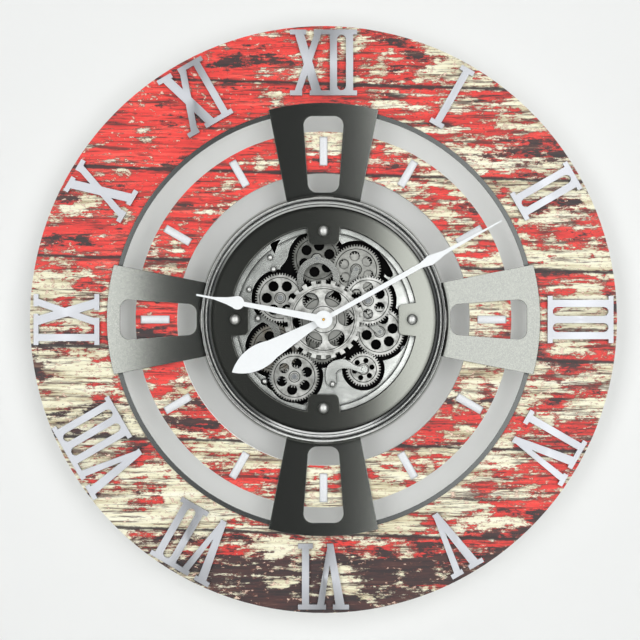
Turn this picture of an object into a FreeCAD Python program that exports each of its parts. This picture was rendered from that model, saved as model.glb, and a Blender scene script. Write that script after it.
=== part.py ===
import FreeCAD, Part
import math
import os
import Sketcher
from FreeCAD import Placement, Rotation, Vector

# A large wall clock with a dial of painted boards and a turning gear train behind its hands.
# The front faces -Y, +Z is up, and the origin is on the hands' axis in the plane of the wall.
# Depth is counted from the wall towards the front, so a plane at depth d lies at y = -d.
# All lengths are in millimetres and all angles in degrees.

SIZES = {
    # boards of the dial
    "clock_diameter": 600.0,
    "numeral_ring_bore": 434.0,
    "board_thickness": 8.0,
    "inner_ring_diameter": 384.0,
    "inner_ring_bore": 299.0,
    "inner_board_thickness": 6.0,
    "baton_length": 29.5,
    "baton_width": 8.0,
    "baton_thickness": 1.7,
    "baton_circle": 344.0,
    # numerals
    "numeral_height": 67.0,
    "numeral_thickness": 5.0,
    "numeral_circle": 524.0,
    "stem_width": 7.3,
    "stem_gap": 9.1,
    "serif_overhang": 4.0,
    "serif_thickness": 5.0,
    "cross_width": 36.7,
    # sheet brackets that carry both rings
    "sheet_thickness": 1.6,
    "bracket_outer_width": 112.0,
    "bracket_inner_width": 74.5,
    "bracket_inner_radius": 118.2,
    "bracket_overlap": 4.0,
    "lip_drop": 2.0,
    "window_outer_radius": 207.5,
    "window_inner_radius": 129.5,
    "window_outer_width": 42.0,
    "window_inner_width": 30.5,
    "window_corner": 9.5,
    "spacer_radius": 4.0,
    "spacer_height": 2.0,
    # steel hoop inside the numeral ring
    "hoop_band": 2.2,
    "hoop_roll": 2.4,
    "hoop_roll_height": 2.0,
    "fit_gap": 0.3,
    # dish plate and bezel
    "dish_diameter": 252.0,
    "dish_thickness": 2.0,
    "dish_window": 191.2,
    "tab_circle": 153.4,
    "tab_tip_width": 30.7,
    "tab_root_width": 35.5,
    "tab_corner": 4.5,
    "dish_screw_circle": 181.0,
    "dish_screw_head": 11.0,
    "dish_screw_dome": 3.4,
    "bezel_diameter": 255.0,
    "bezel_bore": 230.0,
    "bezel_skirt": 2.7,
    "bezel_inner_crest": 238.0,
    "bezel_groove": 242.5,
    "bezel_outer_crest": 248.0,
    "bezel_height": 10.0,
    "bezel_step": 3.0,
    # case and floor
    "case_diameter": 210.0,
    "case_depth": 38.0,
    "case_wall": 2.5,
    "case_back": 2.0,
    "floor_back": 22.0,
    "floor_thickness": 2.0,
    "floor_screw_circle": 176.0,
    "floor_pillar_radius": 4.0,
    "floor_screw_head": 6.0,
    "floor_screw_height": 1.4,
    # silver plate round the wheels
    "plate_diameter": 190.0,
    "plate_rim": 5.0,
    "plate_back": 29.0,
    "plate_thickness": 2.0,
    "plate_gap": 4.0,
    "plate_screw_head": 6.8,
    "plate_screw_dome": 2.0,
    # gear train
    "gear_module": 0.9,
    "first_level": 26.0,
    "level_pitch": 4.0,
    "wheel_thickness": 2.0,
    "hole_circle": 27.4,
    "hole_diameter": 11.0,
    "small_hole_circle": 18.2,
    "small_hole_diameter": 5.8,
    "hub_radius": 3.6,
    "hub_height": 0.8,
    "neck_radius": 4.0,
    "post_radius": 1.5,
    "post_shoulder": 3.0,
    "running_gap": 0.05,
    "end_gap": 0.15,
    "clip_radius": 2.7,
    "clip_thickness": 0.8,
    "centre_wheel_diameter": 80.8,
    "centre_tooth_depth": 3.8,
    "centre_tooth_width": 4.7,
    "centre_plate_diameter": 66.5,
    "centre_plate_rise": 0.5,
    "centre_hole_circle": 46.0,
    "centre_hole_diameter": 17.4,
    "sleeve_radius": 6.5,
    # bridges over the wheels
    "bridge_thickness": 1.2,
    "bridge_gap": 0.4,
    "horseshoe_diameter": 43.0,
    "horseshoe_bore": 30.6,
    "horseshoe_radius_out": 42.8,
    "lug_radius": 4.5,
    "leg_radius": 2.5,
    "arm_width": 7.0,
    "twin_post_radius_out": 31.2,
    "cock_foot_radius": 6.5,
    "cock_foot_radius_out": 67.0,
    "cock_tip_radius": 3.8,
    "curved_foot_radius_out": 67.3,
    "curved_bow": 11.0,
    # centre post and hands
    "centre_post_radius": 4.5,
    "centre_post_flange": 8.0,
    "flange_thickness": 1.4,
    "boss_radius": 4.0,
    "boss_length": 6.0,
    "ring_clip_radius": 6.2,
    "hour_tube_radius": 2.6,
    "minute_tube_radius": 1.6,
    "second_pin_radius": 0.8,
    "tube_depth": 10.0,
    "hour_hand_depth": 45.0,
    "minute_hand_depth": 52.0,
    "second_hand_depth": 54.6,
    "hand_thickness": 1.0,
    "hand_hub_radius": 9.0,
    "hour_hand_length": 107.5,
    "hour_hand_width": 24.6,
    "minute_hand_length": 206.5,
    "minute_hand_width": 10.4,
    "second_hand_length": 131.0,
    "second_hand_bulb": 13.6,
    # works behind the floor
    "movement_side": 56.0,
    "movement_depth": 16.0,
    "movement_corner": 4.0,
    "knob_offset": 15.0,
    "knob_radius": 6.0,
    "knob_recess": 0.8,
    "knob_hole_radius": 8.5,
    "motor_radius": 12.0,
    "motor_length": 16.0,
    "cell_diameter": 14.5,
    "cell_length": 50.5,
    "cell_gap": 1.0,
    "cell_centre_drop": 54.0,
    "bay_margin": 1.5,
    "bay_wall": 1.6,
    "door_recess": 0.2,
    "switch_travel": 4.0,
    "switch_width": 4.0,
    "switch_height": 6.0,
    "switch_radius_out": 58.0,
    "switch_flange": 3.0,
    # hanger
    "hanger_radius_out": 74.0,
    "hanger_width": 40.0,
    "hanger_height": 24.0,
    "hanger_thickness": 1.5,
    "keyhole_radius": 4.5,
    "keyhole_slot": 5.0,
    "keyhole_rise": 9.0,
    "hanger_window_width": 22.0,
    "hanger_window_height": 22.0,
    "hanger_screw_offset": 15.5,
    "hanger_screw_head": 6.0,
    "hanger_screw_height": 1.6,
}

COUNTS = {
    "wheel": 55,
    "small_wheel": 38,
    "centre_pinion": 24,
    "right_pinion": 21,
    "upper_pinion": 38,
    "lower_pinion": 24,
    "motor_pinion": 12,
    "centre_teeth": 24,
    "wheel_holes": 6,
}

# Tooth form, as shares of the module and of the circular pitch.
ADDENDUM_SHARE = 1.0
DEDENDUM_SHARE = 1.25
TOOTH_TIP_SHARE = 0.27
TOOTH_ROOT_SHARE = 0.48

# Small shafts, bores and screw heads are drawn with this many flats.
SMALL_SIDES = 12
STUD_SIDES = 6

# Hands, clockwise from twelve, at the time on the dial.
HOUR_ANGLE = 240.0
MINUTE_ANGLE = 61.0
SECOND_ANGLE = 281.0

# Lengths worked out from the sizes. The formulas stand in a second sheet, so that the
# features of the model can be bound to them.
DERIVED = {
    "clock_radius": "sizes.clock_diameter / 2",
    "numeral_ring_bore_radius": "sizes.numeral_ring_bore / 2",
    "inner_ring_radius": "sizes.inner_ring_diameter / 2",
    "inner_ring_bore_radius": "sizes.inner_ring_bore / 2",
    "dish_front": "sizes.case_depth + sizes.dish_thickness",
    "bracket_front": "dish_front + sizes.sheet_thickness",
    "bracket_outer_radius": "numeral_ring_bore_radius + sizes.bracket_overlap",
    "board_front": "dish_front - sizes.lip_drop",
    "board_back": "board_front - sizes.board_thickness",
    "inner_board_front": "dish_front - sizes.spacer_height",
    "inner_board_back": "inner_board_front - sizes.inner_board_thickness",
    "dish_radius": "sizes.dish_diameter / 2",
    "dish_window_radius": "sizes.dish_window / 2",
    "tab_radius": "sizes.tab_circle / 2",
    "case_radius": "sizes.case_diameter / 2",
    "case_inner_radius": "case_radius - sizes.case_wall",
    "case_wall_height": "sizes.case_depth - sizes.case_back",
    "floor_front": "sizes.floor_back + sizes.floor_thickness",
    "floor_radius": "case_inner_radius - sizes.fit_gap",
    "floor_pillar_height": "sizes.floor_back - sizes.case_back",
    "plate_radius": "sizes.plate_diameter / 2",
    "plate_inner_radius": "plate_radius - sizes.plate_rim",
    "plate_front": "sizes.plate_back + sizes.plate_thickness",
    "plate_rim_height": "sizes.case_depth - sizes.plate_back",
    "bore_radius": "sizes.post_radius + sizes.running_gap",
    "level_gap": "sizes.level_pitch - sizes.wheel_thickness",
    "horseshoe_radius": "sizes.horseshoe_diameter / 2",
    "horseshoe_bore_radius": "sizes.horseshoe_bore / 2",
    "bridge_back_two": "sizes.first_level + 2 * sizes.level_pitch - level_gap + sizes.bridge_gap",
    "bridge_back_three": "bridge_back_two + sizes.level_pitch",
    "horseshoe_leg": "bridge_back_three - floor_front",
    "twin_leg": "bridge_back_two - floor_front",
    "cock_foot_height": "bridge_back_two - plate_front",
    "centre_level": "sizes.first_level + 3 * sizes.level_pitch",
    "centre_bore_radius": "sizes.centre_post_radius + sizes.running_gap",
    "centre_wheel_radius": "sizes.centre_wheel_diameter / 2",
    "centre_plate_radius": "sizes.centre_plate_diameter / 2",
    "centre_clip_back": "centre_level + sizes.wheel_thickness + sizes.centre_plate_rise + sizes.end_gap",
    "centre_post_top": "centre_clip_back + sizes.clip_thickness",
    "centre_post_length": "centre_post_top - floor_front",
    "boss_bore_radius": "sizes.boss_radius + sizes.running_gap",
    "boss_height": "sizes.boss_length - sizes.floor_thickness",
    "hour_bore_radius": "sizes.hour_tube_radius + 2 * sizes.running_gap",
    "minute_bore_radius": "sizes.minute_tube_radius + sizes.running_gap",
    "second_bore_radius": "sizes.second_pin_radius + sizes.running_gap",
    "tube_back": "sizes.floor_back - sizes.tube_depth",
    "movement_back": "sizes.floor_back - sizes.movement_depth",
    "motor_back": "sizes.floor_back - sizes.motor_length",
    "door_thickness": "sizes.case_back - sizes.door_recess",
    "knob_height": "movement_back - sizes.knob_recess - sizes.end_gap",
    "bay_height": "sizes.cell_diameter + sizes.bay_margin",
    "switch_stem": "door_thickness + sizes.end_gap",
    "level_one": "sizes.first_level",
    "level_two": "level_one + sizes.level_pitch",
    "level_three": "level_two + sizes.level_pitch",
    "open_hub": "sizes.wheel_thickness + sizes.hub_height",
    "hub_to_low_bridge": "bridge_back_two - sizes.end_gap - level_two",
    "hub_to_high_bridge": "bridge_back_three - sizes.end_gap - level_one",
    "hub_to_plate": "plate_front - sizes.end_gap - level_one",
    "sleeve_tail": "level_three - floor_front - sizes.flange_thickness - sizes.end_gap",
    "centre_plate_height": "sizes.wheel_thickness + sizes.centre_plate_rise",
    "motor_shaft": "level_one - sizes.floor_back + sizes.tube_depth / 2",
    "motor_bore_back": "sizes.motor_length - sizes.tube_depth / 2 - sizes.end_gap",
    "movement_bore_back": "tube_back - movement_back - sizes.end_gap",
    "set_pin": "movement_back - sizes.knob_recess + sizes.tube_depth / 2",
    "hour_hand_reach": "sizes.hour_hand_depth - tube_back",
    "minute_hand_reach": "sizes.minute_hand_depth - tube_back",
    "second_hand_reach": "sizes.second_hand_depth - tube_back",
    "second_pin_stand": "2 * sizes.hand_thickness",
}

document = FreeCAD.newDocument("gear_clock")
sizes = document.addObject("Spreadsheet::Sheet", "sizes")
derived = document.addObject("Spreadsheet::Sheet", "derived")
subparts = []


def fill(sheet, table, prefix):
    """Write one row per name: the words, then the value under its alias."""
    for row, (name, content) in enumerate(table.items(), start=1):
        sheet.set("A%d" % row, name.replace("_", " "))
        sheet.set("B%d" % row, prefix + str(content))
        sheet.setAlias("B%d" % row, name)


fill(sizes, SIZES, "")
fill(derived, DERIVED, "=")
document.recompute()


def size(name):
    """A length in millimetres, from whichever sheet holds it."""
    return float((sizes if name in SIZES else derived).get(name))


def cell(name):
    """The same length as text, for an expression."""
    return ("sizes." if name in SIZES else "derived.") + name


def keep(label, feature):
    """Name a finished sub-part after its file and list it for export."""
    feature.Label = label
    subparts.append(feature)
    return feature


def polar(radius, angle):
    """A point of the dial, with the angle counted from +X towards +Z."""
    return Vector(radius * math.cos(math.radians(angle)), radius * math.sin(math.radians(angle)), 0)


def origin_plane(body, role):
    return next(plane for plane in body.Origin.OriginFeatures if plane.Role == role)


def new_body(label, depth, centre=Vector(), turn=0.0):
    """A body whose own front plane lies at the depth, turned clockwise as seen from the front."""
    body = document.addObject("PartDesign::Body", label)
    body.Placement = Placement(Vector(centre.x, -size(depth), centre.y), Rotation(Vector(0, 1, 0), turn))
    body.setExpression(".Placement.Base.y", "-" + cell(depth))
    return keep(label, body)


def dial_sketch(body, geometry, offset=None, sign=1):
    """A sketch parallel to the dial, moved to the front by the offset, or to the back where sign is -1."""
    sketch = body.newObject("Sketcher::SketchObject", "sketch")
    sketch.AttachmentSupport = (origin_plane(body, "XZ_Plane"), [""])
    sketch.MapMode = "FlatFace"
    if offset:
        sketch.AttachmentOffset = Placement(Vector(0, 0, sign * size(offset)), Rotation())
        sketch.setExpression(".AttachmentOffset.Base.z", ("" if sign > 0 else "-") + cell(offset))
    for piece in geometry:
        sketch.addGeometry(piece)
    return sketch


def add_circle(sketch, radius, centre=Vector()):
    """A circle in a sketch whose radius follows the named size."""
    index = sketch.addGeometry(Part.Circle(centre, Vector(0, 0, 1), size(radius)))
    rule = sketch.addConstraint(Sketcher.Constraint("Radius", index, size(radius)))
    name = "radius_%d" % index
    sketch.renameConstraint(rule, name)
    sketch.setExpression("Constraints." + name, cell(radius))
    return sketch


def pad(body, sketch, length, backwards=False):
    feature = body.newObject("PartDesign::Pad", "pad")
    feature.Profile = sketch
    feature.Length = size(length)
    feature.setExpression("Length", cell(length))
    feature.Reversed = backwards
    body.Tip = feature
    return feature


def pocket(body, sketch, length=None):
    """Cut from the sketch towards the front, by the named length or right through."""
    feature = body.newObject("PartDesign::Pocket", "pocket")
    feature.Profile = sketch
    feature.Reversed = True
    if length:
        feature.Length = size(length)
        feature.setExpression("Length", cell(length))
    else:
        feature.Type = "ThroughAll"
    body.Tip = feature
    return feature


def around(body, originals, count):
    """Repeat features about the body's own axis across the dial."""
    feature = body.newObject("PartDesign::PolarPattern", "pattern")
    feature.Originals = originals
    feature.Axis = (originals[0].Profile[0], ["N_Axis"])
    feature.Angle = 360
    feature.Occurrences = count
    body.Tip = feature
    return feature


def polygon(points):
    """Straight edges from each point to the next and back to the first."""
    return [Part.LineSegment(a, b) for a, b in zip(points, points[1:] + points[:1])]


def regular(centre, radius, sides):
    return polygon([centre + polar(radius, 360 * (i + 0.5) / sides) for i in range(sides)])


def rounded(points, radii):
    """Straight edges between the points, with an arc of its own radius at each corner."""
    starts, ends, arcs = [], [], []
    for i, corner in enumerate(points):
        before = (points[i - 1] - corner).normalize()
        after = (points[(i + 1) % len(points)] - corner).normalize()
        half = before.getAngle(after) / 2
        reach = radii[i] / math.tan(half)
        starts.append(corner + before * reach)
        ends.append(corner + after * reach)
        middle = corner + (before + after).normalize() * (radii[i] / math.sin(half) - radii[i])
        arcs.append(Part.Arc(starts[i], middle, ends[i]))
    sides = [Part.LineSegment(ends[i - 1], starts[i]) for i in range(len(points))]
    return arcs + sides


def shaft(radius, centre=Vector()):
    """A small round with flats, its corners on the circle."""
    return regular(centre, size(radius), SMALL_SIDES)


def bore(radius, centre=Vector()):
    """A small hole with flats on the circle, so that a shaft turns freely in it."""
    return regular(centre, size(radius) / math.cos(math.pi / SMALL_SIDES), SMALL_SIDES)


def stadium(a, b, radius_a, radius_b):
    """Two round ends joined by straight tangent sides."""
    along = (b - a).normalize()
    across = Vector(-along.y, along.x, 0)
    lean = (radius_a - radius_b) / (b - a).Length
    side = math.sqrt(1 - lean * lean)
    left = along * lean + across * side
    right = along * lean - across * side
    return [
        Part.Arc(a + left * radius_a, a - along * radius_a, a + right * radius_a),
        Part.LineSegment(a + right * radius_a, b + right * radius_b),
        Part.Arc(b + right * radius_b, b + along * radius_b, b + left * radius_b),
        Part.LineSegment(b + left * radius_b, a + left * radius_a),
    ]


def bowed_band(a, middle, b, half_width):
    """A band of constant width along the arc through three points, with round ends."""
    circle = Part.Circle(a, middle, b)
    hub, radius = circle.Center, circle.Radius

    def at(point, away):
        return hub + (point - hub).normalize() * (radius + away)

    def cap(point, other):
        tangent = Vector(-(point - hub).y, (point - hub).x, 0).normalize()
        if tangent.dot(other - point) > 0:
            tangent = tangent * -1
        return Part.Arc(at(point, half_width), point + tangent * half_width, at(point, -half_width))

    return [
        Part.Arc(at(a, half_width), at(middle, half_width), at(b, half_width)),
        Part.Arc(at(a, -half_width), at(middle, -half_width), at(b, -half_width)),
        cap(a, middle),
        cap(b, middle),
    ]


def turned(label, profile):
    """A ring or disc turned about the hands' axis from (radius, depth) points."""
    body = document.addObject("PartDesign::Body", label)
    sketch = body.newObject("Sketcher::SketchObject", "profile")
    sketch.AttachmentSupport = (origin_plane(body, "XY_Plane"), [""])
    sketch.MapMode = "FlatFace"
    for edge in polygon([Vector(radius, -depth, 0) for radius, depth in profile]):
        sketch.addGeometry(edge)
    feature = body.newObject("PartDesign::Revolution", "turn")
    feature.Profile = sketch
    feature.ReferenceAxis = (sketch, ["V_Axis"])
    feature.Angle = 360
    body.Tip = feature
    return keep(label, body)


def dial_feature(label, shape, turn=0.0):
    """A shape drawn as (across, up, depth) on the dial, stood upright against the wall."""
    feature = document.addObject("Part::Feature", label)
    feature.Shape = shape
    upright = Rotation(Vector(1, 0, 0), 90)
    feature.Placement = Placement(Vector(), Rotation(Vector(0, 1, 0), turn) * upright)
    return keep(label, feature)


def face_of(geometry):
    return Part.Face(Part.Wire(Part.__sortEdges__([piece.toShape() for piece in geometry])))


def raised(face, back, height):
    """A flat outline of the dial made solid from one depth to another."""
    lifted = face.copy()
    lifted.translate(Vector(0, 0, back))
    return lifted.extrude(Vector(0, 0, height))


def rod(centre, radius, back, front, sides=None):
    """A straight round rod, or one with flats, from one depth to another."""
    return raised(face_of(regular(centre, radius, sides or SMALL_SIDES)), back, front - back)


# Shoulder of a screw's dome, as shares of the head's radius and of the dome's height.
DOME_SHOULDER_SHARES = (0.76, 0.55)


def domed_screw(centre, head_radius, dome, seat):
    """The turned head of a screw, on the plane at the seat's depth."""
    across, up = DOME_SHOULDER_SHARES
    path = [Vector(), Vector(head_radius, 0, 0), Vector(across * head_radius, 0, up * dome), Vector(0, 0, dome)]
    head = face_of(polygon(path)).revolve(Vector(), Vector(0, 0, 1), 360)
    head.translate(Vector(centre.x, centre.y, seat))
    return head


def flat_screw(centre, head_radius, height, seat):
    return rod(centre, head_radius, seat, seat + height)


def ring(label, outer, bore, depth, thickness):
    """A flat ring cut from board or sheet."""
    body = new_body(label, depth)
    sketch = dial_sketch(body, [])
    add_circle(sketch, outer)
    add_circle(sketch, bore)
    pad(body, sketch, thickness)
    return body


# Boards

ring("outer_ring", "clock_radius", "numeral_ring_bore_radius", "board_back", "board_thickness")
ring("inner_ring", "inner_ring_radius", "inner_ring_bore_radius", "inner_board_back", "inner_board_thickness")


def batons():
    """Twelve bars on the inner ring, one for each hour."""
    bars = []
    for hour in range(12):
        bar = Part.makeBox(
            size("baton_width"),
            size("baton_length"),
            size("baton_thickness"),
            Vector(
                -size("baton_width") / 2,
                size("baton_circle") / 2 - size("baton_length") / 2,
                size("inner_board_front"),
            ),
        )
        bar.rotate(Vector(), Vector(0, 0, 1), 30 * hour)
        bars.append(bar)
    return dial_feature("hour_batons", Part.makeCompound(bars))


batons()

# Numerals

# Strokes of the wide letters: the left and right edge at the top, then at the foot,
# as shares of the letter's width.
THICK_CROSS_SHARES = (0.10, 0.355, 0.90, 0.645)
THIN_CROSS_SHARES = (0.72, 0.915, 0.28, 0.085)
THICK_VEE_SHARES = (0.10, 0.355, 0.62, 0.44)
THIN_VEE_SHARES = (0.71, 0.905, 0.585, 0.455)
# Serifs of the wide letters: the two at the top, then the two at the foot.
CROSS_SERIF_SHARES = ((0.0, 0.45), (0.66, 1.0), (0.0, 0.34), (0.55, 1.0))
VEE_SERIF_SHARES = ((0.0, 0.45), (0.64, 1.0))


def stroke(left, width, shares):
    """A slanting stroke from the top of the letter to its foot."""
    top_left, top_right, foot_right, foot_left = (left + share * width for share in shares)
    height = size("numeral_height")
    corners = [(top_left, height), (top_right, height), (foot_right, 0), (foot_left, 0)]
    return Part.Face(Part.makePolygon([Vector(x, y, 0) for x, y in corners + corners[:1]]))


def bar_at(start, end, low, high):
    return Part.makePlane(end - start, high - low, Vector(start, low, 0))


# Directions of the corners round the end of a slot.
SLOT_END_ANGLES = (0, 36, 72, 108, 144, 180)


def letter_one(left, following):
    """A stem with its serifs, and where an equal stem follows, the web with its slot between them."""
    height, serif = size("numeral_height"), size("serif_thickness")
    stem, gap, overhang = size("stem_width"), size("stem_gap"), size("serif_overhang")
    inside = left + overhang
    right = inside + stem
    reach = gap if following == "I" else overhang
    faces = [bar_at(inside, right, 0, height)]
    faces += [bar_at(left, right + reach, low, low + serif) for low in (0, height - serif)]
    if following == "I":
        round_end = gap / 2
        low = Vector(right + round_end, serif + round_end)
        high = Vector(right + round_end, height - serif - round_end)
        end = [polar(round_end, angle) for angle in SLOT_END_ANGLES]
        slot = [high + point for point in end] + [low - point for point in end]
        faces.append(bar_at(right, right + gap, serif, height - serif).cut(face_of(polygon(slot))))
    return faces, right + reach - (overhang if following == "I" else 0)


def letter_wide(left, letter, following):
    """A five or a ten: a thick stroke, a thin stroke and the serifs."""
    height, serif, wide = size("numeral_height"), size("serif_thickness"), size("cross_width")
    strokes = (THICK_CROSS_SHARES, THIN_CROSS_SHARES)
    serifs = CROSS_SERIF_SHARES
    if letter == "V":
        strokes = (THICK_VEE_SHARES, THIN_VEE_SHARES)
        serifs = VEE_SERIF_SHARES
    faces = [stroke(left, wide, shares) for shares in strokes]
    for place, (start, end) in enumerate(serifs):
        low = height - serif if place < 2 else 0
        reach = size("serif_overhang") if following and end == 1.0 else 0
        faces.append(bar_at(left + start * wide, left + end * wide + reach, low, low + serif))
    return faces, left + wide


def numeral(label, letters, hour):
    """One numeral cut from plate, upright at its hour with its foot towards the centre."""
    faces, cursor = [], 0.0
    for i, letter in enumerate(letters):
        following = letters[i + 1 : i + 2]
        if letter == "I":
            more, cursor = letter_one(cursor, following)
        else:
            more, cursor = letter_wide(cursor, letter, following)
        faces += more
    pieces = [raised(face, size("board_front"), size("numeral_thickness")) for face in faces]
    foot = size("numeral_circle") / 2 - size("numeral_height") / 2
    for piece in pieces:
        piece.translate(Vector(-cursor / 2, foot))
        piece.rotate(Vector(), Vector(0, 0, 1), -30 * hour)
    return dial_feature(label, pieces[0].multiFuse(pieces[1:]).removeSplitter())


NUMERALS = ("XII", "I", "II", "III", "IV", "V", "VI", "VII", "VIII", "IX", "X", "XI")
for hour, letters in enumerate(NUMERALS):
    numeral("numeral_%02d" % (hour or 12), letters, hour)

# Hoop, brackets and spacers


def rim_hoop():
    """A rolled steel hoop inside the numeral ring, with a lip turned in at the front."""
    outside = size("numeral_ring_bore_radius") - size("fit_gap")
    inside = outside - size("hoop_band")
    lip = inside - size("hoop_roll")
    front, back = size("dish_front"), size("board_back")
    under = front - size("hoop_roll_height")
    return turned(
        "rim_hoop",
        [(lip, front), (outside, front), (outside, back), (inside, back), (inside, under), (lip, under)],
    )


rim_hoop()


def arc_end(radius, half_width):
    """Where a side at this half width meets the circle of the radius."""
    return Vector(half_width, math.sqrt(radius * radius - half_width * half_width))


def bracket(label, turn):
    """A sheet bracket from the dish to the numeral ring, with a window and a lip on the ring."""
    body = new_body(label, "dish_front", turn=turn)
    outer = size("bracket_outer_radius")
    right = arc_end(outer, size("bracket_outer_width") / 2)
    left = Vector(-right.x, right.y)
    foot = Vector(size("bracket_inner_width") / 2, size("bracket_inner_radius"))
    foot_left = Vector(-foot.x, foot.y)
    outline = [Part.Arc(left, Vector(0, outer), right)]
    outline += [Part.LineSegment(right, foot), Part.LineSegment(foot, foot_left), Part.LineSegment(foot_left, left)]
    pad(body, dial_sketch(body, outline), "sheet_thickness")

    inside = outer - size("sheet_thickness")
    lip_right = right * (inside / outer)
    lip_left = Vector(-lip_right.x, lip_right.y)
    lip = [Part.Arc(left, Vector(0, outer), right), Part.LineSegment(right, lip_right)]
    lip += [Part.Arc(lip_right, Vector(0, inside), lip_left), Part.LineSegment(lip_left, left)]
    pad(body, dial_sketch(body, lip), "lip_drop", backwards=True)

    wide, narrow = size("window_outer_width") / 2, size("window_inner_width") / 2
    far, near = size("window_outer_radius"), size("window_inner_radius")
    corners = [Vector(-wide, far), Vector(wide, far), Vector(narrow, near), Vector(-narrow, near)]
    pocket(body, dial_sketch(body, rounded(corners, [size("window_corner")] * 4)))
    return body


for name, turn in (("top", 0), ("right", 90), ("bottom", 180), ("left", 270)):
    bracket("bracket_" + name, turn)


def bracket_rail(radius):
    """Middle of the rail beside a bracket's window, at this distance from the centre."""
    rise = (radius - size("bracket_inner_radius")) / (size("window_outer_radius") - size("bracket_inner_radius"))
    edge = size("bracket_inner_width") / 2
    edge += rise * (size("bracket_outer_width") - size("bracket_inner_width")) / 2
    return (edge + size("window_outer_width") / 2) / 2


def ring_spacers():
    """Short studs that carry the inner ring behind the brackets, two on each."""
    up = (size("inner_ring_radius") + size("inner_ring_bore_radius")) / 2
    studs = []
    for quarter in range(4):
        for side in (-1, 1):
            stud = rod(
                Vector(side * bracket_rail(up), up),
                size("spacer_radius"),
                size("inner_board_front"),
                size("dish_front"),
                STUD_SIDES,
            )
            stud.rotate(Vector(), Vector(0, 0, 1), 90 * quarter)
            studs.append(stud)
    return dial_feature("ring_spacers", Part.makeCompound(studs))


ring_spacers()


# Dish plate and bezel


def dish_plate():
    """The dark plate round the works, with four tabs that reach in over them."""
    body = new_body("dish_plate", "case_depth")
    sketch = dial_sketch(body, [])
    add_circle(sketch, "dish_radius")
    add_circle(sketch, "dish_window_radius")
    pad(body, sketch, "dish_thickness")
    root = size("dish_window_radius") + size("plate_rim")
    near = size("tab_radius")
    half_tip, half_root = size("tab_tip_width") / 2, size("tab_root_width") / 2
    corners = [Vector(-half_tip, near), Vector(half_tip, near), Vector(half_root, root), Vector(-half_root, root)]
    corner = size("tab_corner")
    tab = pad(body, dial_sketch(body, rounded(corners, [corner, corner, corner / 2, corner / 2])), "dish_thickness")
    around(body, [tab], 4)
    return body


dish_plate()


def dish_screws():
    """Polished domed screws, one on each tab."""
    centres = [polar(size("dish_screw_circle") / 2, 90 * i) for i in range(4)]
    head, dome = size("dish_screw_head") / 2, size("dish_screw_dome")
    heads = [domed_screw(centre, head, dome, size("dish_front")) for centre in centres]
    return dial_feature("dish_screws", Part.makeCompound(heads))


dish_screws()


def bezel():
    """A beaded ring over the brackets' inner ends, seated on the dish by its skirt."""
    bore, outside = size("bezel_bore") / 2, size("bezel_diameter") / 2
    seat, step = size("dish_front"), size("bracket_front")
    crest = seat + size("bezel_height")
    skirt = bore + size("bezel_skirt")
    return turned(
        "bezel",
        [
            (bore, seat),
            (bore, crest - size("bezel_step")),
            (size("bezel_inner_crest") / 2, crest),
            (size("bezel_groove") / 2, crest - size("bezel_step")),
            (size("bezel_outer_crest") / 2, crest - size("bezel_step") / 3),
            (outside, step),
            (skirt, step),
            (skirt, seat),
        ],
    )


bezel()

# Gear train

# Each wheel is named by where it shows on the dial. A wheel stands off the wheel that
# drives it in the given direction, on the level given, and may carry a pinion on the
# level behind it. Columns: driver, driver's teeth, own teeth, direction, level, pinion.
TRAIN = {
    "gear_left": ("centre", "wheel", "wheel", 153.6, 3, None),
    "gear_right": ("centre", "wheel", "wheel", 23.1, 3, "right_pinion"),
    "gear_upper_right": ("gear_right", "right_pinion", "wheel", 110.7, 2, "upper_pinion"),
    "gear_lower_right": ("gear_right", "right_pinion", "wheel", -69.3, 2, None),
    "gear_top": ("gear_upper_right", "upper_pinion", "wheel", 164.6, 1, None),
    "gear_bottom_right": ("gear_lower_right", "wheel", "small_wheel", -113.6, 2, None),
    "gear_behind_centre": ("centre", "centre_pinion", "small_wheel", -93.1, 2, None),
    "gear_bottom_left": ("gear_behind_centre", "small_wheel", "wheel", -132.6, 2, "lower_pinion"),
    "gear_lower_left": ("gear_bottom_left", "lower_pinion", "wheel", 126.4, 1, None),
    "motor_pinion": ("gear_lower_left", "wheel", "motor_pinion", -90.0, 1, None),
}
LEVELS = {1: "level_one", 2: "level_two", 3: "level_three"}
# Wheels whose posts end in a bridge: the back of the bridge, and the hub that stops short of it.
BRIDGED = {
    "gear_upper_right": ("bridge_back_two", "hub_to_low_bridge"),
    "gear_lower_right": ("bridge_back_two", "hub_to_low_bridge"),
    "gear_bottom_right": ("bridge_back_two", "hub_to_low_bridge"),
    "gear_top": ("bridge_back_three", "hub_to_high_bridge"),
    "gear_lower_left": ("plate_front", "hub_to_plate"),
}
# Direction of the first lightening hole on each wheel.
HOLE_ANGLES = {
    "gear_left": 0.0,
    "gear_right": 30.0,
    "gear_upper_right": 36.0,
    "gear_lower_right": 14.0,
    "gear_top": 20.0,
    "gear_bottom_right": 13.0,
    "gear_bottom_left": 20.0,
    "gear_lower_left": 50.0,
}


CENTRE_HOLE_ANGLE = 5.0


def pitch_radius(teeth):
    return size("gear_module") * teeth / 2


def tip_radius(teeth):
    return pitch_radius(teeth) + ADDENDUM_SHARE * size("gear_module")


def train_places():
    """Centre and first tooth of every wheel and pinion, in mesh at rest."""
    places = {"centre": Vector()}
    phases = {("centre", "wheel"): 0.0, ("centre", "centre_pinion"): 0.0}
    for name, (driver, driving, own, direction, _, pinion) in TRAIN.items():
        ahead, teeth = COUNTS[driving], COUNTS[own]
        places[name] = places[driver] + polar(pitch_radius(ahead + teeth), direction)
        lead = direction - phases[driver, driving]
        phases[name, own] = direction + 180 + 180 / teeth + lead * ahead / teeth
        if pinion:
            phases[name, pinion] = 0.0
    return places, phases


PLACES, PHASES = train_places()


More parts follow.
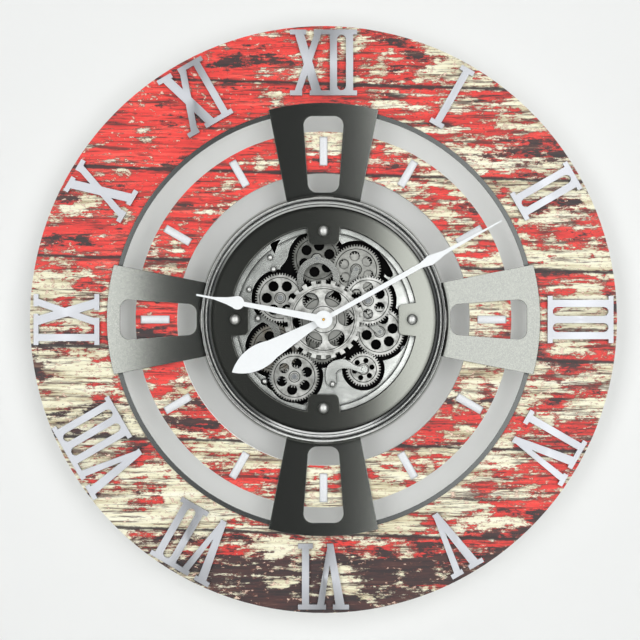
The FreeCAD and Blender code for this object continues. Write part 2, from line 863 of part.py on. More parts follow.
def gap_outline(teeth, phase):
    """The gap between two teeth, from the root out past the tip, clockwise of the tooth at the phase."""
    pitch = math.pi * size("gear_module")
    root = pitch_radius(teeth) - DEDENDUM_SHARE * size("gear_module")
    tip = tip_radius(teeth)
    half_root = math.pi * root / teeth - TOOTH_ROOT_SHARE * pitch / 2
    half_tip = math.pi * tip / teeth - TOOTH_TIP_SHARE * pitch / 2
    past = tip + (tip - root) / 2
    half_past = half_tip + (half_tip - half_root) / 2
    corners = [Vector(root, -half_root), Vector(past, -half_past), Vector(past, half_past), Vector(root, half_root)]
    turn = Rotation(Vector(0, 0, 1), phase + 180 / teeth)
    return polygon([turn.multVec(corner) for corner in corners])


def blank(teeth, phase):
    """The outline before the gaps are cut, with one flat for each tooth's tip."""
    corner = tip_radius(teeth) / math.cos(math.pi / teeth)
    return polygon([polar(corner, phase + 360 * (i + 0.5) / teeth) for i in range(teeth)])


def circle(radius, centre=Vector()):
    return [Part.Circle(centre, Vector(0, 0, 1), radius)]


def cut_teeth(body, teeth, phase, offset=None, length=None):
    """Cut one gap and repeat it round the wheel."""
    gap = pocket(body, dial_sketch(body, gap_outline(teeth, phase), offset, -1), length)
    around(body, [gap], teeth)


def lighten(body, circle_size, hole_size, angle, sides):
    """Lightening holes, drawn with flats."""
    centre = polar(size(circle_size) / 2, angle)
    hole = pocket(body, dial_sketch(body, regular(centre, size(hole_size) / 2, sides)))
    around(body, [hole], COUNTS["wheel_holes"])


def gear(name):
    """A wheel of the train with its hub, its holes and the pinion behind it."""
    _, _, own, _, level, pinion = TRAIN[name]
    teeth = COUNTS[own]
    body = new_body(name, LEVELS[level], PLACES[name])
    pad(body, dial_sketch(body, blank(teeth, PHASES[name, own])), "wheel_thickness")
    hub = dial_sketch(body, shaft("hub_radius"))
    pad(body, hub, BRIDGED[name][1] if name in BRIDGED else "open_hub")
    rear = "level_pitch" if pinion else None
    if pinion:
        neck = dial_sketch(body, shaft("neck_radius"))
        pad(body, neck, rear, backwards=True)
        rear_blank = blank(COUNTS[pinion], PHASES[name, pinion])
        pad(body, dial_sketch(body, rear_blank, rear, -1), "wheel_thickness")
    pocket(body, dial_sketch(body, bore("bore_radius"), rear, -1))
    if own == "wheel":
        lighten(body, "hole_circle", "hole_diameter", HOLE_ANGLES[name], 10)
    elif name in HOLE_ANGLES:
        lighten(body, "small_hole_circle", "small_hole_diameter", HOLE_ANGLES[name], 8)
    if pinion:
        cut_teeth(body, COUNTS[pinion], PHASES[name, pinion], rear, "wheel_thickness")
    cut_teeth(body, teeth, PHASES[name, own])
    return body


for wheel in TRAIN:
    if wheel != "motor_pinion":
        gear(wheel)


def motor_pinion():
    """The small pinion on the motor's shaft."""
    teeth = COUNTS["motor_pinion"]
    body = new_body("motor_pinion", "first_level", PLACES["motor_pinion"])
    pad(body, dial_sketch(body, blank(teeth, PHASES["motor_pinion", "motor_pinion"])), "wheel_thickness")
    pad(body, dial_sketch(body, shaft("post_radius")), "motor_shaft", backwards=True)
    cut_teeth(body, teeth, PHASES["motor_pinion", "motor_pinion"])
    return body


motor_pinion()


def centre_fine_wheel():
    """The fine wheel and pinion on the hands' axis, on one sleeve behind the coarse wheel."""
    body = new_body("centre_fine_wheel", "level_three")
    teeth, pinion = COUNTS["wheel"], COUNTS["centre_pinion"]
    pad(body, dial_sketch(body, blank(teeth, PHASES["centre", "wheel"])), "wheel_thickness")
    sleeve = dial_sketch(body, [])
    add_circle(sleeve, "sleeve_radius")
    pad(body, sleeve, "sleeve_tail", backwards=True)
    front = dial_sketch(body, [])
    add_circle(front, "sleeve_radius")
    pad(body, front, "level_pitch")
    rear_blank = blank(pinion, PHASES["centre", "centre_pinion"])
    pad(body, dial_sketch(body, rear_blank, "level_pitch", -1), "wheel_thickness")
    hole = dial_sketch(body, [], "sleeve_tail", -1)
    add_circle(hole, "centre_bore_radius")
    pocket(body, hole)
    cut_teeth(body, pinion, PHASES["centre", "centre_pinion"], "level_pitch", "wheel_thickness")
    cut_teeth(body, teeth, PHASES["centre", "wheel"])
    return body


centre_fine_wheel()


def centre_wheel():
    """The coarse wheel behind the hands, with square teeth and a raised middle."""
    body = new_body("centre_wheel", "centre_level")
    sketch = dial_sketch(body, [])
    add_circle(sketch, "centre_wheel_radius")
    pad(body, sketch, "wheel_thickness")
    plate = dial_sketch(body, [])
    add_circle(plate, "centre_plate_radius")
    pad(body, plate, "centre_plate_height")
    hole = dial_sketch(body, [])
    add_circle(hole, "centre_bore_radius")
    pocket(body, hole)
    lighten(body, "centre_hole_circle", "centre_hole_diameter", CENTRE_HOLE_ANGLE, 16)
    teeth = COUNTS["centre_teeth"]
    tip = size("centre_wheel_radius")
    root = tip - size("centre_tooth_depth")
    half_root = math.pi * root / teeth - size("centre_tooth_width") / 2
    half_tip = math.pi * tip / teeth - size("centre_tooth_width") / 2
    past = tip + size("centre_tooth_depth")
    corners = [Vector(root, -half_root), Vector(past, -half_tip), Vector(past, half_tip), Vector(root, half_root)]
    turn = Rotation(Vector(0, 0, 1), 180 / teeth)
    gap = pocket(body, dial_sketch(body, polygon([turn.multVec(corner) for corner in corners])))
    around(body, [gap], teeth)
    return body


centre_wheel()


def gear_posts():
    """Fixed posts on the floor with shoulders under the wheels, and the clips that keep the wheels on."""
    post, outer = size("centre_post_radius"), size("ring_clip_radius")
    back, front = size("centre_clip_back"), size("centre_post_top")
    inside = (post + size("running_gap") / 2) / math.cos(math.pi / SMALL_SIDES)
    clips = [rod(Vector(), outer, back, front).cut(rod(Vector(), inside, back, front))]
    posts = []
    for name, (_, _, _, _, level, pinion) in TRAIN.items():
        if name == "motor_pinion":
            continue
        centre, back = PLACES[name], size(LEVELS[level - 1 if pinion else level])
        shoulder = rod(centre, size("post_shoulder"), size("floor_front"), back - size("end_gap"))
        top = size(LEVELS[level]) + size("open_hub") + size("end_gap")
        if name in BRIDGED:
            top = size(BRIDGED[name][0]) + size("bridge_thickness")
        else:
            clips.append(rod(centre, size("clip_radius"), top, top + size("clip_thickness")))
        posts.append(shoulder.fuse(rod(centre, size("post_radius"), size("floor_front"), top)).removeSplitter())
    dial_feature("gear_posts", Part.makeCompound(posts))
    dial_feature("post_clips", Part.makeCompound(clips))


gear_posts()

# Bridges


def bore_for(body, places):
    """Holes for the ends of the posts."""
    for place in places:
        pocket(body, dial_sketch(body, bore("bore_radius", place)))


def leg(body, place, length):
    """A round leg from the back of a bridge to what it stands on."""
    sketch = dial_sketch(body, shaft("leg_radius", place))
    pad(body, sketch, length, backwards=True)


HORSESHOE_ANGLE = 97.5
HORSESHOE_LEG_ANGLES = (240.0, 310.0)
TWIN_POST_ANGLE = 39.8
COCK_FOOT_ANGLE = -82.0
CURVED_FOOT_ANGLE = 178.9


def horseshoe_bridge():
    """A ring bridge over the upper wheels, on two legs, with a lug for the top wheel's post."""
    body = new_body("horseshoe_bridge", "bridge_back_three")
    centre = polar(size("horseshoe_radius_out"), HORSESHOE_ANGLE)
    sketch = dial_sketch(body, [])
    add_circle(sketch, "horseshoe_radius", centre)
    add_circle(sketch, "horseshoe_bore_radius", centre)
    pad(body, sketch, "bridge_thickness")
    lug = dial_sketch(body, [])
    add_circle(lug, "lug_radius", PLACES["gear_top"])
    pad(body, lug, "bridge_thickness")
    middle = (size("horseshoe_radius") + size("horseshoe_bore_radius")) / 2
    for angle in HORSESHOE_LEG_ANGLES:
        leg(body, centre + polar(middle, angle), "horseshoe_leg")
    bore_for(body, [PLACES["gear_top"]])
    return body


horseshoe_bridge()


def twin_bridge():
    """Two arms from one leg, to the posts of the upper right and lower right wheels."""
    body = new_body("twin_bridge", "bridge_back_two")
    root = polar(size("twin_post_radius_out"), TWIN_POST_ANGLE)
    half = size("arm_width") / 2
    ends = [PLACES["gear_upper_right"], PLACES["gear_lower_right"]]
    for end in ends:
        pad(body, dial_sketch(body, stadium(root, end, half, half)), "bridge_thickness")
    leg(body, root, "twin_leg")
    bore_for(body, ends)
    return body


twin_bridge()


def beak_cock():
    """A tapering cock from the silver plate to the post of the bottom right wheel."""
    body = new_body("beak_cock", "bridge_back_two")
    foot = polar(size("cock_foot_radius_out"), COCK_FOOT_ANGLE)
    end = PLACES["gear_bottom_right"]
    outline = stadium(foot, end, size("cock_foot_radius"), size("cock_tip_radius"))
    pad(body, dial_sketch(body, outline), "bridge_thickness")
    base = dial_sketch(body, [])
    add_circle(base, "cock_foot_radius", foot)
    pad(body, base, "cock_foot_height", backwards=True)
    bore_for(body, [end])
    return body


beak_cock()


def curved_bridge():
    """A bowed arm from its screw on the silver plate to the post of the lower left wheel."""
    body = new_body("curved_bridge", "plate_front")
    foot = polar(size("curved_foot_radius_out"), CURVED_FOOT_ANGLE)
    end = PLACES["gear_lower_left"]
    chord = end - foot
    across = Vector(-chord.y, chord.x, 0).normalize()
    middle = (foot + end) / 2 + across * size("curved_bow")
    band = bowed_band(foot, middle, end, size("arm_width") / 2)
    pad(body, dial_sketch(body, band), "bridge_thickness")
    bore_for(body, [end])
    return body


curved_bridge()

# Silver plate


# Small screws of the silver plate, as (distance, direction) from the centre, the distance
# as a share of the plate's radius.
PLATE_SCREW_SHARES = ((0.884, 130.7), (0.865, 158.1), (0.925, -133.6), (0.766, 134.8))

# Where three openings nearly meet, the point between them is cleared as well.
PLATE_CORNER_ANGLE = -42.5


def gear_plate():
    """The silver plate: openings that follow the wheels with a gap, and a rim up to the dish."""
    body = new_body("gear_plate", "plate_back")
    sketch = dial_sketch(body, [])
    add_circle(sketch, "plate_radius")
    pad(body, sketch, "plate_thickness")
    openings = {"centre": size("centre_wheel_radius")}
    for name, (_, _, own, _, _, _) in TRAIN.items():
        if name != "motor_pinion":
            openings[name] = tip_radius(COUNTS[own])
    for name, radius in openings.items():
        pocket(body, dial_sketch(body, circle(radius + size("plate_gap"), PLACES[name])))
    corner = polar(openings["centre"] + size("plate_gap"), PLATE_CORNER_ANGLE)
    pocket(body, dial_sketch(body, regular(corner, size("plate_gap"), SMALL_SIDES)))
    rim = dial_sketch(body, [])
    add_circle(rim, "plate_radius")
    add_circle(rim, "plate_inner_radius")
    pad(body, rim, "plate_rim_height")
    inside = size("plate_inner_radius")
    for name, radius in openings.items():
        reach = radius + size("plate_gap") / 4
        if name != "centre" and PLACES[name].Length + reach > inside:
            pocket(body, dial_sketch(body, circle(reach, PLACES[name])))
    for share, angle in PLATE_SCREW_SHARES:
        place, reach = polar(share * size("plate_radius"), angle), size("plate_screw_head") / 2 + size("end_gap")
        if place.Length + reach > inside:
            pocket(body, dial_sketch(body, circle(reach, place), "plate_thickness"))
    return body


gear_plate()



def plate_screws():
    """Small screws on the silver plate, and those that hold the curved bridge and the cock."""
    radius = size("plate_radius")
    head, dome = size("plate_screw_head") / 2, size("plate_screw_dome")
    heads = [
        flat_screw(polar(share * radius, angle), head, dome, size("plate_front"))
        for share, angle in PLATE_SCREW_SHARES
    ]
    bridge_front = size("plate_front") + size("bridge_thickness")
    foot = polar(size("curved_foot_radius_out"), CURVED_FOOT_ANGLE)
    heads.append(flat_screw(foot, size("clip_radius"), dome / 2, bridge_front))
    foot = polar(size("cock_foot_radius_out"), COCK_FOOT_ANGLE)
    bridge_front = size("bridge_back_two") + size("bridge_thickness")
    heads.append(flat_screw(foot, head, dome, bridge_front))
    return dial_feature("plate_screws", Part.makeCompound(heads))


plate_screws()

# Case and floor

FLOOR_SCREW_ANGLES = (20.0, 160.0, 200.0, 340.0)
KNOB_DIRECTION = -45.0
SWITCH_DIRECTION = 180.0


def knob_centre():
    return Vector(size("knob_offset"), -size("knob_offset"), 0)


def bay_corners(margin):
    """Lower left and upper right corner of the battery bay, with a margin round the cells."""
    half = size("cell_length") / 2 + margin
    low = -size("cell_centre_drop") - size("cell_diameter") - size("cell_gap") / 2 - margin
    high = -size("cell_centre_drop") + size("cell_diameter") + size("cell_gap") / 2 + margin
    return Vector(-half, low), Vector(half, high)


def rectangle(low, high):
    return polygon([low, Vector(high.x, low.y), high, Vector(low.x, high.y)])


def centred(centre, width, height):
    half = Vector(width / 2, height / 2)
    return rectangle(centre - half, centre + half)


def switch_centre():
    return polar(size("switch_radius_out"), SWITCH_DIRECTION)


def hanger_centre():
    return Vector(0, size("hanger_radius_out"))


def rear_case():
    """The moulded case: back, wall, screw pillars and battery bay, open at the front."""
    body = new_body("rear_case", "case_depth")
    wall = dial_sketch(body, [])
    add_circle(wall, "case_radius")
    add_circle(wall, "case_inner_radius")
    pad(body, wall, "case_depth", backwards=True)
    back = dial_sketch(body, [], "case_depth", -1)
    add_circle(back, "case_radius")
    pad(body, back, "case_back")
    for angle in FLOOR_SCREW_ANGLES:
        place = polar(size("floor_screw_circle") / 2, angle)
        pillar = dial_sketch(body, shaft("floor_pillar_radius", place), "case_wall_height", -1)
        pad(body, pillar, "floor_pillar_height")
    margin = size("bay_margin")
    frame = rectangle(*bay_corners(margin + size("bay_wall"))) + rectangle(*bay_corners(margin))
    pad(body, dial_sketch(body, frame, "case_wall_height", -1), "bay_height")
    pocket(body, dial_sketch(body, rectangle(*bay_corners(margin)), "case_depth", -1), "case_back")
    knob_hole = dial_sketch(body, [], "case_depth", -1)
    add_circle(knob_hole, "knob_hole_radius", knob_centre())
    pocket(body, knob_hole, "case_back")
    slot_width = size("switch_width") + size("switch_travel") + 2 * size("fit_gap")
    slot = centred(switch_centre(), slot_width, size("switch_height") + 2 * size("fit_gap"))
    pocket(body, dial_sketch(body, slot, "case_depth", -1), "case_back")
    window = centred(hanger_centre(), size("hanger_window_width"), size("hanger_window_height"))
    pocket(body, dial_sketch(body, window, "case_depth", -1), "case_back")
    return body


rear_case()


def floor_plate():
    """The floor that carries the posts in front and the works behind."""
    body = new_body("floor_plate", "floor_back")
    sketch = dial_sketch(body, [])
    add_circle(sketch, "floor_radius")
    pad(body, sketch, "floor_thickness")
    pocket(body, dial_sketch(body, bore("boss_bore_radius") + bore("bore_radius", PLACES["motor_pinion"])))
    return body


floor_plate()


def floor_screws():
    """Screws from the front of the floor into the case's pillars."""
    head, height = size("floor_screw_head") / 2, size("floor_screw_height")
    places = [polar(size("floor_screw_circle") / 2, angle) for angle in FLOOR_SCREW_ANGLES]
    heads = [flat_screw(place, head, height, size("floor_front")) for place in places]
    return dial_feature("floor_screws", Part.makeCompound(heads))


floor_screws()

# Centre post and movement


def centre_post():
    """The fixed tube on which the centre wheels turn; its foot is the nut of the movement."""
    body = new_body("centre_post", "floor_front")
    flange = dial_sketch(body, [])
    add_circle(flange, "centre_post_flange")
    pad(body, flange, "flange_thickness")
    tube = dial_sketch(body, [])
    add_circle(tube, "centre_post_radius")
    pad(body, tube, "centre_post_length")
    pocket(body, dial_sketch(body, bore("boss_bore_radius")), "boss_height")
    pocket(body, dial_sketch(body, bore("hour_bore_radius")))
    return body


centre_post()


def clock_movement():
    """The closed quartz movement, with the threaded boss that goes through the floor."""
    body = new_body("clock_movement", "movement_back")
    half = size("movement_side") / 2
    corners = [Vector(-half, -half), Vector(half, -half), Vector(half, half), Vector(-half, half)]
    pad(body, dial_sketch(body, rounded(corners, [size("movement_corner")] * 4)), "movement_depth")
    pad(body, dial_sketch(body, shaft("boss_radius"), "movement_depth"), "boss_length")
    pocket(body, dial_sketch(body, bore("hour_bore_radius"), "movement_bore_back"))
    pocket(body, dial_sketch(body, bore("bore_radius", knob_centre())), "tube_depth")
    return body


clock_movement()


def set_knob():
    """The knob at the back that sets the hands."""
    body = new_body("set_knob", "knob_recess", knob_centre())
    grip = dial_sketch(body, regular(Vector(), size("knob_radius"), 18))
    pad(body, grip, "knob_height")
    pin = dial_sketch(body, shaft("post_radius"))
    pad(body, pin, "set_pin")
    return body


set_knob()


def gear_motor():
    """The motor can behind the floor, bored for the pinion's shaft."""
    body = new_body("gear_motor", "motor_back", PLACES["motor_pinion"])
    can = dial_sketch(body, [])
    add_circle(can, "motor_radius")
    pad(body, can, "motor_length")
    pocket(body, dial_sketch(body, bore("bore_radius"), "motor_bore_back"))
    return body


gear_motor()


def cells():
    """Two round cells side by side in the bay."""
    radius, length = size("cell_diameter") / 2, size("cell_length")
    depth = size("case_back") + size("fit_gap") + radius
    both = []
    for side in (-1, 1):
        up = -size("cell_centre_drop") + side * (radius + size("cell_gap") / 2)
        start = Vector(-length / 2, up, depth)
        both.append(Part.makeCylinder(radius, length, start, Vector(1, 0, 0)))
    return dial_feature("battery_cells", Part.makeCompound(both))


cells()


def battery_door():
    """The lid of the battery bay, flush in the back of the case."""
    body = new_body("battery_door", "door_recess")
    low, high = bay_corners(size("bay_margin") - size("fit_gap"))
    pad(body, dial_sketch(body, rectangle(low, high)), "door_thickness")
    return body


battery_door()


def gear_switch():
    """The slider of the switch for the turning gears, held behind the back by its flange."""
    travel, width, height = size("switch_travel"), size("switch_width"), size("switch_height")
    start = switch_centre() - Vector(travel / 2, 0)
    body = new_body("gear_switch", "door_recess", start)
    pad(body, dial_sketch(body, centred(Vector(), width, height)), "switch_stem")
    margin = size("switch_flange")
    flange = centred(Vector(), width + 2 * margin + travel, height + 2 * margin)
    pad(body, dial_sketch(body, flange, "switch_stem"), "door_thickness")
    return body


gear_switch()


def hanger_plate():
    """Pressed steel plate inside the back, with a keyhole over the window in the case."""
    body = new_body("hanger_plate", "case_back")
    centre = hanger_centre()
    pad(body, dial_sketch(body, centred(centre, size("hanger_width"), size("hanger_height"))), "hanger_thickness")
    entry = centre - Vector(0, size("keyhole_rise") / 2)
    hole = dial_sketch(body, [])
    add_circle(hole, "keyhole_radius", entry)
    pocket(body, hole)
    half = size("keyhole_slot") / 2
    neck = stadium(entry, entry + Vector(0, size("keyhole_rise")), half, half)
    pocket(body, dial_sketch(body, neck))
    return body


hanger_plate()


def hanger_screws():
    """Two screws that hold the hanger plate to the back of the case."""
    seat = size("case_back") + size("hanger_thickness")
    head, height = size("hanger_screw_head") / 2, size("hanger_screw_height")
    places = [hanger_centre() + Vector(side * size("hanger_screw_offset"), 0) for side in (-1, 1)]
    heads = [flat_screw(place, head, height, seat) for place in places]
    return dial_feature("hanger_screws", Part.makeCompound(heads))


hanger_screws()

# Hands

# Half outlines, as shares of the hand's length and of its half width.
HOUR_NECK_SHARES = ((0.07, 0.26), (0.56, 0.79))
HOUR_WAIST_SHARES = (0.74, 1.0)
MINUTE_SHARES = ((0.04, 0.44), (0.545, 0.5), (0.60, 1.0), (0.68, 0.4), (1.0, 0.11))
SECOND_BAR_SHARES = ((0.06, 0.56), (0.63, 0.33))
SECOND_BULB_SHARE = 0.677
SECOND_POINT_SHARES = ((0.68, 0.98), (0.76, 0.52), (0.86, 0.18), (1.0, 0.13))


def both_sides(points):
    """Close a half outline with its mirror image."""
    return polygon([Vector(-x, y) for x, y in points] + [Vector(x, y) for x, y in reversed(points)])


def scaled(shares, length, half_width):
    return [(across * half_width, along * length) for along, across in shares]


def hand(name, angle):
    """A hand with only its hub, pointing clockwise of twelve by the angle."""
    body = new_body(name, name + "_depth", turn=angle)
    hub = dial_sketch(body, [])
    add_circle(hub, "hand_hub_radius")
    pad(body, hub, "hand_thickness")
    return body


def add_arbor(body, name, radius, inside=None):
    """The tube or pin behind the hub that reaches into the movement."""
    pad(body, dial_sketch(body, shaft(radius)), name + "_reach", backwards=True)
    if inside:
        pocket(body, dial_sketch(body, bore(inside), name + "_reach", -1))


def hour_hand():
    """A leaf on a long neck."""
    body = hand("hour_hand", HOUR_ANGLE)
    length, half = size("hour_hand_length"), size("hour_hand_width") / 2
    neck = [Vector(x, y) for x, y in scaled(HOUR_NECK_SHARES, length, half)]
    waist = Vector(HOUR_WAIST_SHARES[1] * half, HOUR_WAIST_SHARES[0] * length)
    tip = Vector(0, length)

    def mirror(point):
        return Vector(-point.x, point.y)

    edges = [
        Part.LineSegment(mirror(neck[0]), neck[0]),
        Part.LineSegment(neck[0], neck[1]),
        Part.Arc(neck[1], waist, tip),
        Part.Arc(tip, mirror(waist), mirror(neck[1])),
        Part.LineSegment(mirror(neck[1]), mirror(neck[0])),
    ]
    pad(body, dial_sketch(body, edges), "hand_thickness")
    add_arbor(body, "hour_hand", "hour_tube_radius", "minute_bore_radius")
    return body


hour_hand()


def minute_hand():
    """A bar that swells to a lozenge and runs out to a needle."""
    body = hand("minute_hand", MINUTE_ANGLE)
    outline = both_sides(scaled(MINUTE_SHARES, size("minute_hand_length"), size("minute_hand_width") / 2))
    pad(body, dial_sketch(body, outline), "hand_thickness")
    add_arbor(body, "minute_hand", "minute_tube_radius", "second_bore_radius")
    return body


minute_hand()


def second_hand():
    """A tapering bar, a round bulb and a long point."""
    body = hand("second_hand", SECOND_ANGLE)
    length, half = size("second_hand_length"), size("second_hand_bulb") / 2
    bulb = circle(half, Vector(0, SECOND_BULB_SHARE * length))
    pad(body, dial_sketch(body, both_sides(scaled(SECOND_BAR_SHARES, length, half))), "hand_thickness")
    pad(body, dial_sketch(body, bulb), "hand_thickness")
    pad(body, dial_sketch(body, both_sides(scaled(SECOND_POINT_SHARES, length, half))), "hand_thickness")
    add_arbor(body, "second_hand", "second_pin_radius")
    pad(body, dial_sketch(body, shaft("second_pin_radius")), "second_pin_stand")
    return body


second_hand()


def check_and_write():
    """Stop on any failed feature or bad shape, then write one file for each sub-part."""
    document.recompute()
    failed = [
        item.Label for item in document.Objects if "Invalid" in item.State or "Error" in item.State
    ]
    failed += [part.Label for part in subparts if part.Shape.isNull() or not part.Shape.isValid()]
    if failed:
        raise RuntimeError("failed: " + ", ".join(failed))
    os.makedirs("parts", exist_ok=True)
    for part in subparts:
        part.Shape.exportStep("parts/%s.step" % part.Label)
    print(len(subparts), "sub-parts written")


check_and_write()
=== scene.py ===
# %% [markdown]
# # A wall clock with printed boards and a turning gear train
# The clock is packed as a fixed set of solids, one for each sub-part. This file loads them, gives each
# the finish of the real piece, adds what repeats or is too fine for the solids, and sets up plain
# studio light with the camera straight in front. Lengths are in metres, +Z is up, and the dial faces -Y.

import math

import bpy
import bmesh
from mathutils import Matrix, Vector


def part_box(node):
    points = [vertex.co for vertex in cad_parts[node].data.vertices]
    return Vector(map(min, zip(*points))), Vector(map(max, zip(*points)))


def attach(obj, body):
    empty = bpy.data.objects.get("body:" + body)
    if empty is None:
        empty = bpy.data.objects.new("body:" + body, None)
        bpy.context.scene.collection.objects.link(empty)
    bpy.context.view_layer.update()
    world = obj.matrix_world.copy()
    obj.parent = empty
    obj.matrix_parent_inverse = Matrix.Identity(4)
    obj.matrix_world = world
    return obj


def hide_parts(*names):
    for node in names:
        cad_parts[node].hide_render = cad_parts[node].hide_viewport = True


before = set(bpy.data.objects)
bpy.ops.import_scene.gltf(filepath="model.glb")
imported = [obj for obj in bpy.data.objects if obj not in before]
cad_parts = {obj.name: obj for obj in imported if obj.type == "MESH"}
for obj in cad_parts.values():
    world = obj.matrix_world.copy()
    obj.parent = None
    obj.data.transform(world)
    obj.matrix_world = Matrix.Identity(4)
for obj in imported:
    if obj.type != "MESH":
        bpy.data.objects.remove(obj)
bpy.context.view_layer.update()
MM = 0.001

# %% [markdown]
# Every colour below is an sRGB hex value, as a colour picker shows it. The renderer works with linear
# light, so one function turns the one into the other. Another adds a node with its settings and links.


# %% Colour and node helpers
def hex_colour(code):
    """The linear red, green, blue and alpha of an sRGB hex value."""
    parts = [int(code[i : i + 2], 16) / 255 for i in (0, 2, 4)]
    return tuple(c / 12.92 if c <= 0.04045 else ((c + 0.055) / 1.055) ** 2.4 for c in parts) + (1.0,)


def fill(tree, socket, value):
    """Give a socket a plain value, or link it to the socket that feeds it."""
    if isinstance(value, bpy.types.NodeSocket):
        tree.links.new(value, socket)
    else:
        socket.default_value = value


def add_node(tree, kind, inputs=None, **settings):
    """A node with its settings; an input takes a plain value or the socket that feeds it."""
    node = tree.nodes.new(kind)
    for name, value in settings.items():
        setattr(node, name, value)
    for name, value in (inputs or {}).items():
        fill(tree, node.inputs[name], value)
    return node


def new_material(name, colour, metallic=0.0, roughness=0.5, **more):
    """A material with its surface shader; returns the material, its tree and the shader."""
    material = bpy.data.materials.new(name)
    material.use_nodes = True
    tree = material.node_tree
    surface = tree.nodes["Principled BSDF"]
    surface.inputs["Base Color"].default_value = hex_colour(colour)
    surface.inputs["Metallic"].default_value = metallic
    surface.inputs["Roughness"].default_value = roughness
    for socket, value in more.items():
        surface.inputs[socket.replace("_", " ")].default_value = value
    material.diffuse_color = hex_colour(colour)
    return material, tree, surface


# %% [markdown]
# A pattern needs a place to read, a noise, and steps that turn the noise into colours. Object coordinates
# are metres on the piece itself, so a pattern stays on its piece when a joint turns it, and its size can
# be written in millimetres.


# %% Pattern helpers
def place_of(tree, scale=(1, 1, 1), turn=(0, 0, 0), shift=(0, 0, 0)):
    """The point on the piece, in metres, stretched, turned or moved for a pattern."""
    coordinates = add_node(tree, "ShaderNodeTexCoord")
    mapping = add_node(tree, "ShaderNodeMapping", {"Vector": coordinates.outputs["Object"]})
    mapping.inputs["Scale"].default_value = scale
    mapping.inputs["Rotation"].default_value = turn
    mapping.inputs["Location"].default_value = shift
    return mapping.outputs["Vector"]


def noise(tree, vector, size_mm, detail=3.0, roughness=0.55):
    """A noise whose blobs are about this many millimetres across."""
    inputs = {"Vector": vector, "Scale": 1000 / size_mm, "Detail": detail, "Roughness": roughness}
    return add_node(tree, "ShaderNodeTexNoise", inputs).outputs["Fac"]


def ramp(tree, factor, stops):
    """Colours or greys along a factor, as (position, hex) pairs."""
    node = add_node(tree, "ShaderNodeValToRGB", {"Fac": factor})
    bar = node.color_ramp
    while len(bar.elements) < len(stops):
        bar.elements.new(0.5)
    for element, (position, code) in zip(bar.elements, stops):
        element.position = position
        element.color = hex_colour(code)
    return node.outputs["Color"]


def rising(tree, factor, start, end):
    """A mask: black below the start and white above the end."""
    return ramp(tree, factor, [(start, "000000"), (end, "FFFFFF")])


def falling(tree, factor, start, end):
    """A mask: white below the start and black above the end."""
    return ramp(tree, factor, [(start, "FFFFFF"), (end, "000000")])


def mix(tree, factor, a, b):
    """Two colours mixed by a factor."""
    node = add_node(tree, "ShaderNodeMix", data_type="RGBA")
    for socket, value in zip((node.inputs[0], node.inputs[6], node.inputs[7]), (factor, a, b)):
        fill(tree, socket, value)
    return node.outputs[2]


def maths(tree, operation, a, b=0.0, c=0.0):
    """One sum on sockets or plain numbers."""
    node = add_node(tree, "ShaderNodeMath", operation=operation)
    for socket, value in zip(node.inputs, (a, b, c)):
        fill(tree, socket, value)
    return node.outputs[0]


def laid_over(tree, under, mask, strength, code):
    """One more colour on top of what is there, where a mask is white."""
    return mix(tree, maths(tree, "MULTIPLY", mask, strength), under, hex_colour(code))


def bump(tree, surface, height, strength, distance_mm):
    """Fine relief on the shader's normal."""
    inputs = {"Height": height, "Strength": strength, "Distance": distance_mm * MM}
    node = add_node(tree, "ShaderNodeBump", inputs)
    tree.links.new(node.outputs["Normal"], surface.inputs["Normal"])


def split(tree, vector):
    """The x, y and z of a vector."""
    return add_node(tree, "ShaderNodeSeparateXYZ", {"Vector": vector}).outputs


def vector_of(tree, **parts):
    """A vector from its X, Y and Z, where those left out are 0."""
    return add_node(tree, "ShaderNodeCombineXYZ", parts).outputs[0]


# %% [markdown]
# The two boards carry one printed picture of old painted planks: red and cream paint worn to dark wood,
# with dark seams between planks that slope a little down to the right. A print lies in the dial's plane,
# so the pattern reads the piece's own X and Z and runs on from the outer board to the inner one. Each
# plank is moved along itself, so that no grain runs over a seam.

# %% Planks of the print
PLANK_MM = 92.0
FIRST_SEAM_MM = 241.0
SLOPE = 0.030
PLANK_SHIFT = 0.73

# how many times longer than high, size in millimetres, detail and roughness of each noise
PATTERNS = {
    "broad": (1.9, 66, 2.0, 0.50),
    "chips": (2.3, 16, 9.0, 0.74),
    "grain": (14.0, 6, 6.0, 0.70),
    "cracks": (9.0, 24, 8.0, 0.75),
    "scratches": (16.0, 3.4, 5.0, 0.72),
    "specks": (1.8, 4.0, 4.0, 0.65),
}


def stretched(tree, vector, times):
    """The same point with the pattern drawn out along the planks."""
    mapping = add_node(tree, "ShaderNodeMapping", {"Vector": vector})
    mapping.inputs["Scale"].default_value = (1 / times, 1.0, 1.0)
    return mapping.outputs[0]


def planks(tree):
    """The print's x and z, the share of the way up its own plank, and each noise by name."""
    x, _, z = split(tree, place_of(tree))[:3]
    # height above the wall's middle, counted in planks, once the slope is taken off
    level = maths(tree, "MULTIPLY", x, SLOPE * 1000 / PLANK_MM)
    level = maths(tree, "MULTIPLY_ADD", z, 1000 / PLANK_MM, level)
    level = maths(tree, "SUBTRACT", level, FIRST_SEAM_MM / PLANK_MM)
    plank = maths(tree, "FLOOR", level)
    within = maths(tree, "FRACT", level)
    point = vector_of(tree, X=maths(tree, "MULTIPLY_ADD", plank, PLANK_SHIFT, x), Y=plank, Z=z)
    noises = {
        name: noise(tree, stretched(tree, point, times), size_mm, detail, roughness)
        for name, (times, size_mm, detail, roughness) in PATTERNS.items()
    }
    return x, z, within, noises


# %% [markdown]
# Red paint lies over cream. Where the sum of a few noises passes a limit, the red has worn off, and the
# limit is lowered where the clock shows more cream: towards the foot, the left edge and the top edge, at
# the upper right and at the lower left. A brown line follows the edge of each worn patch.

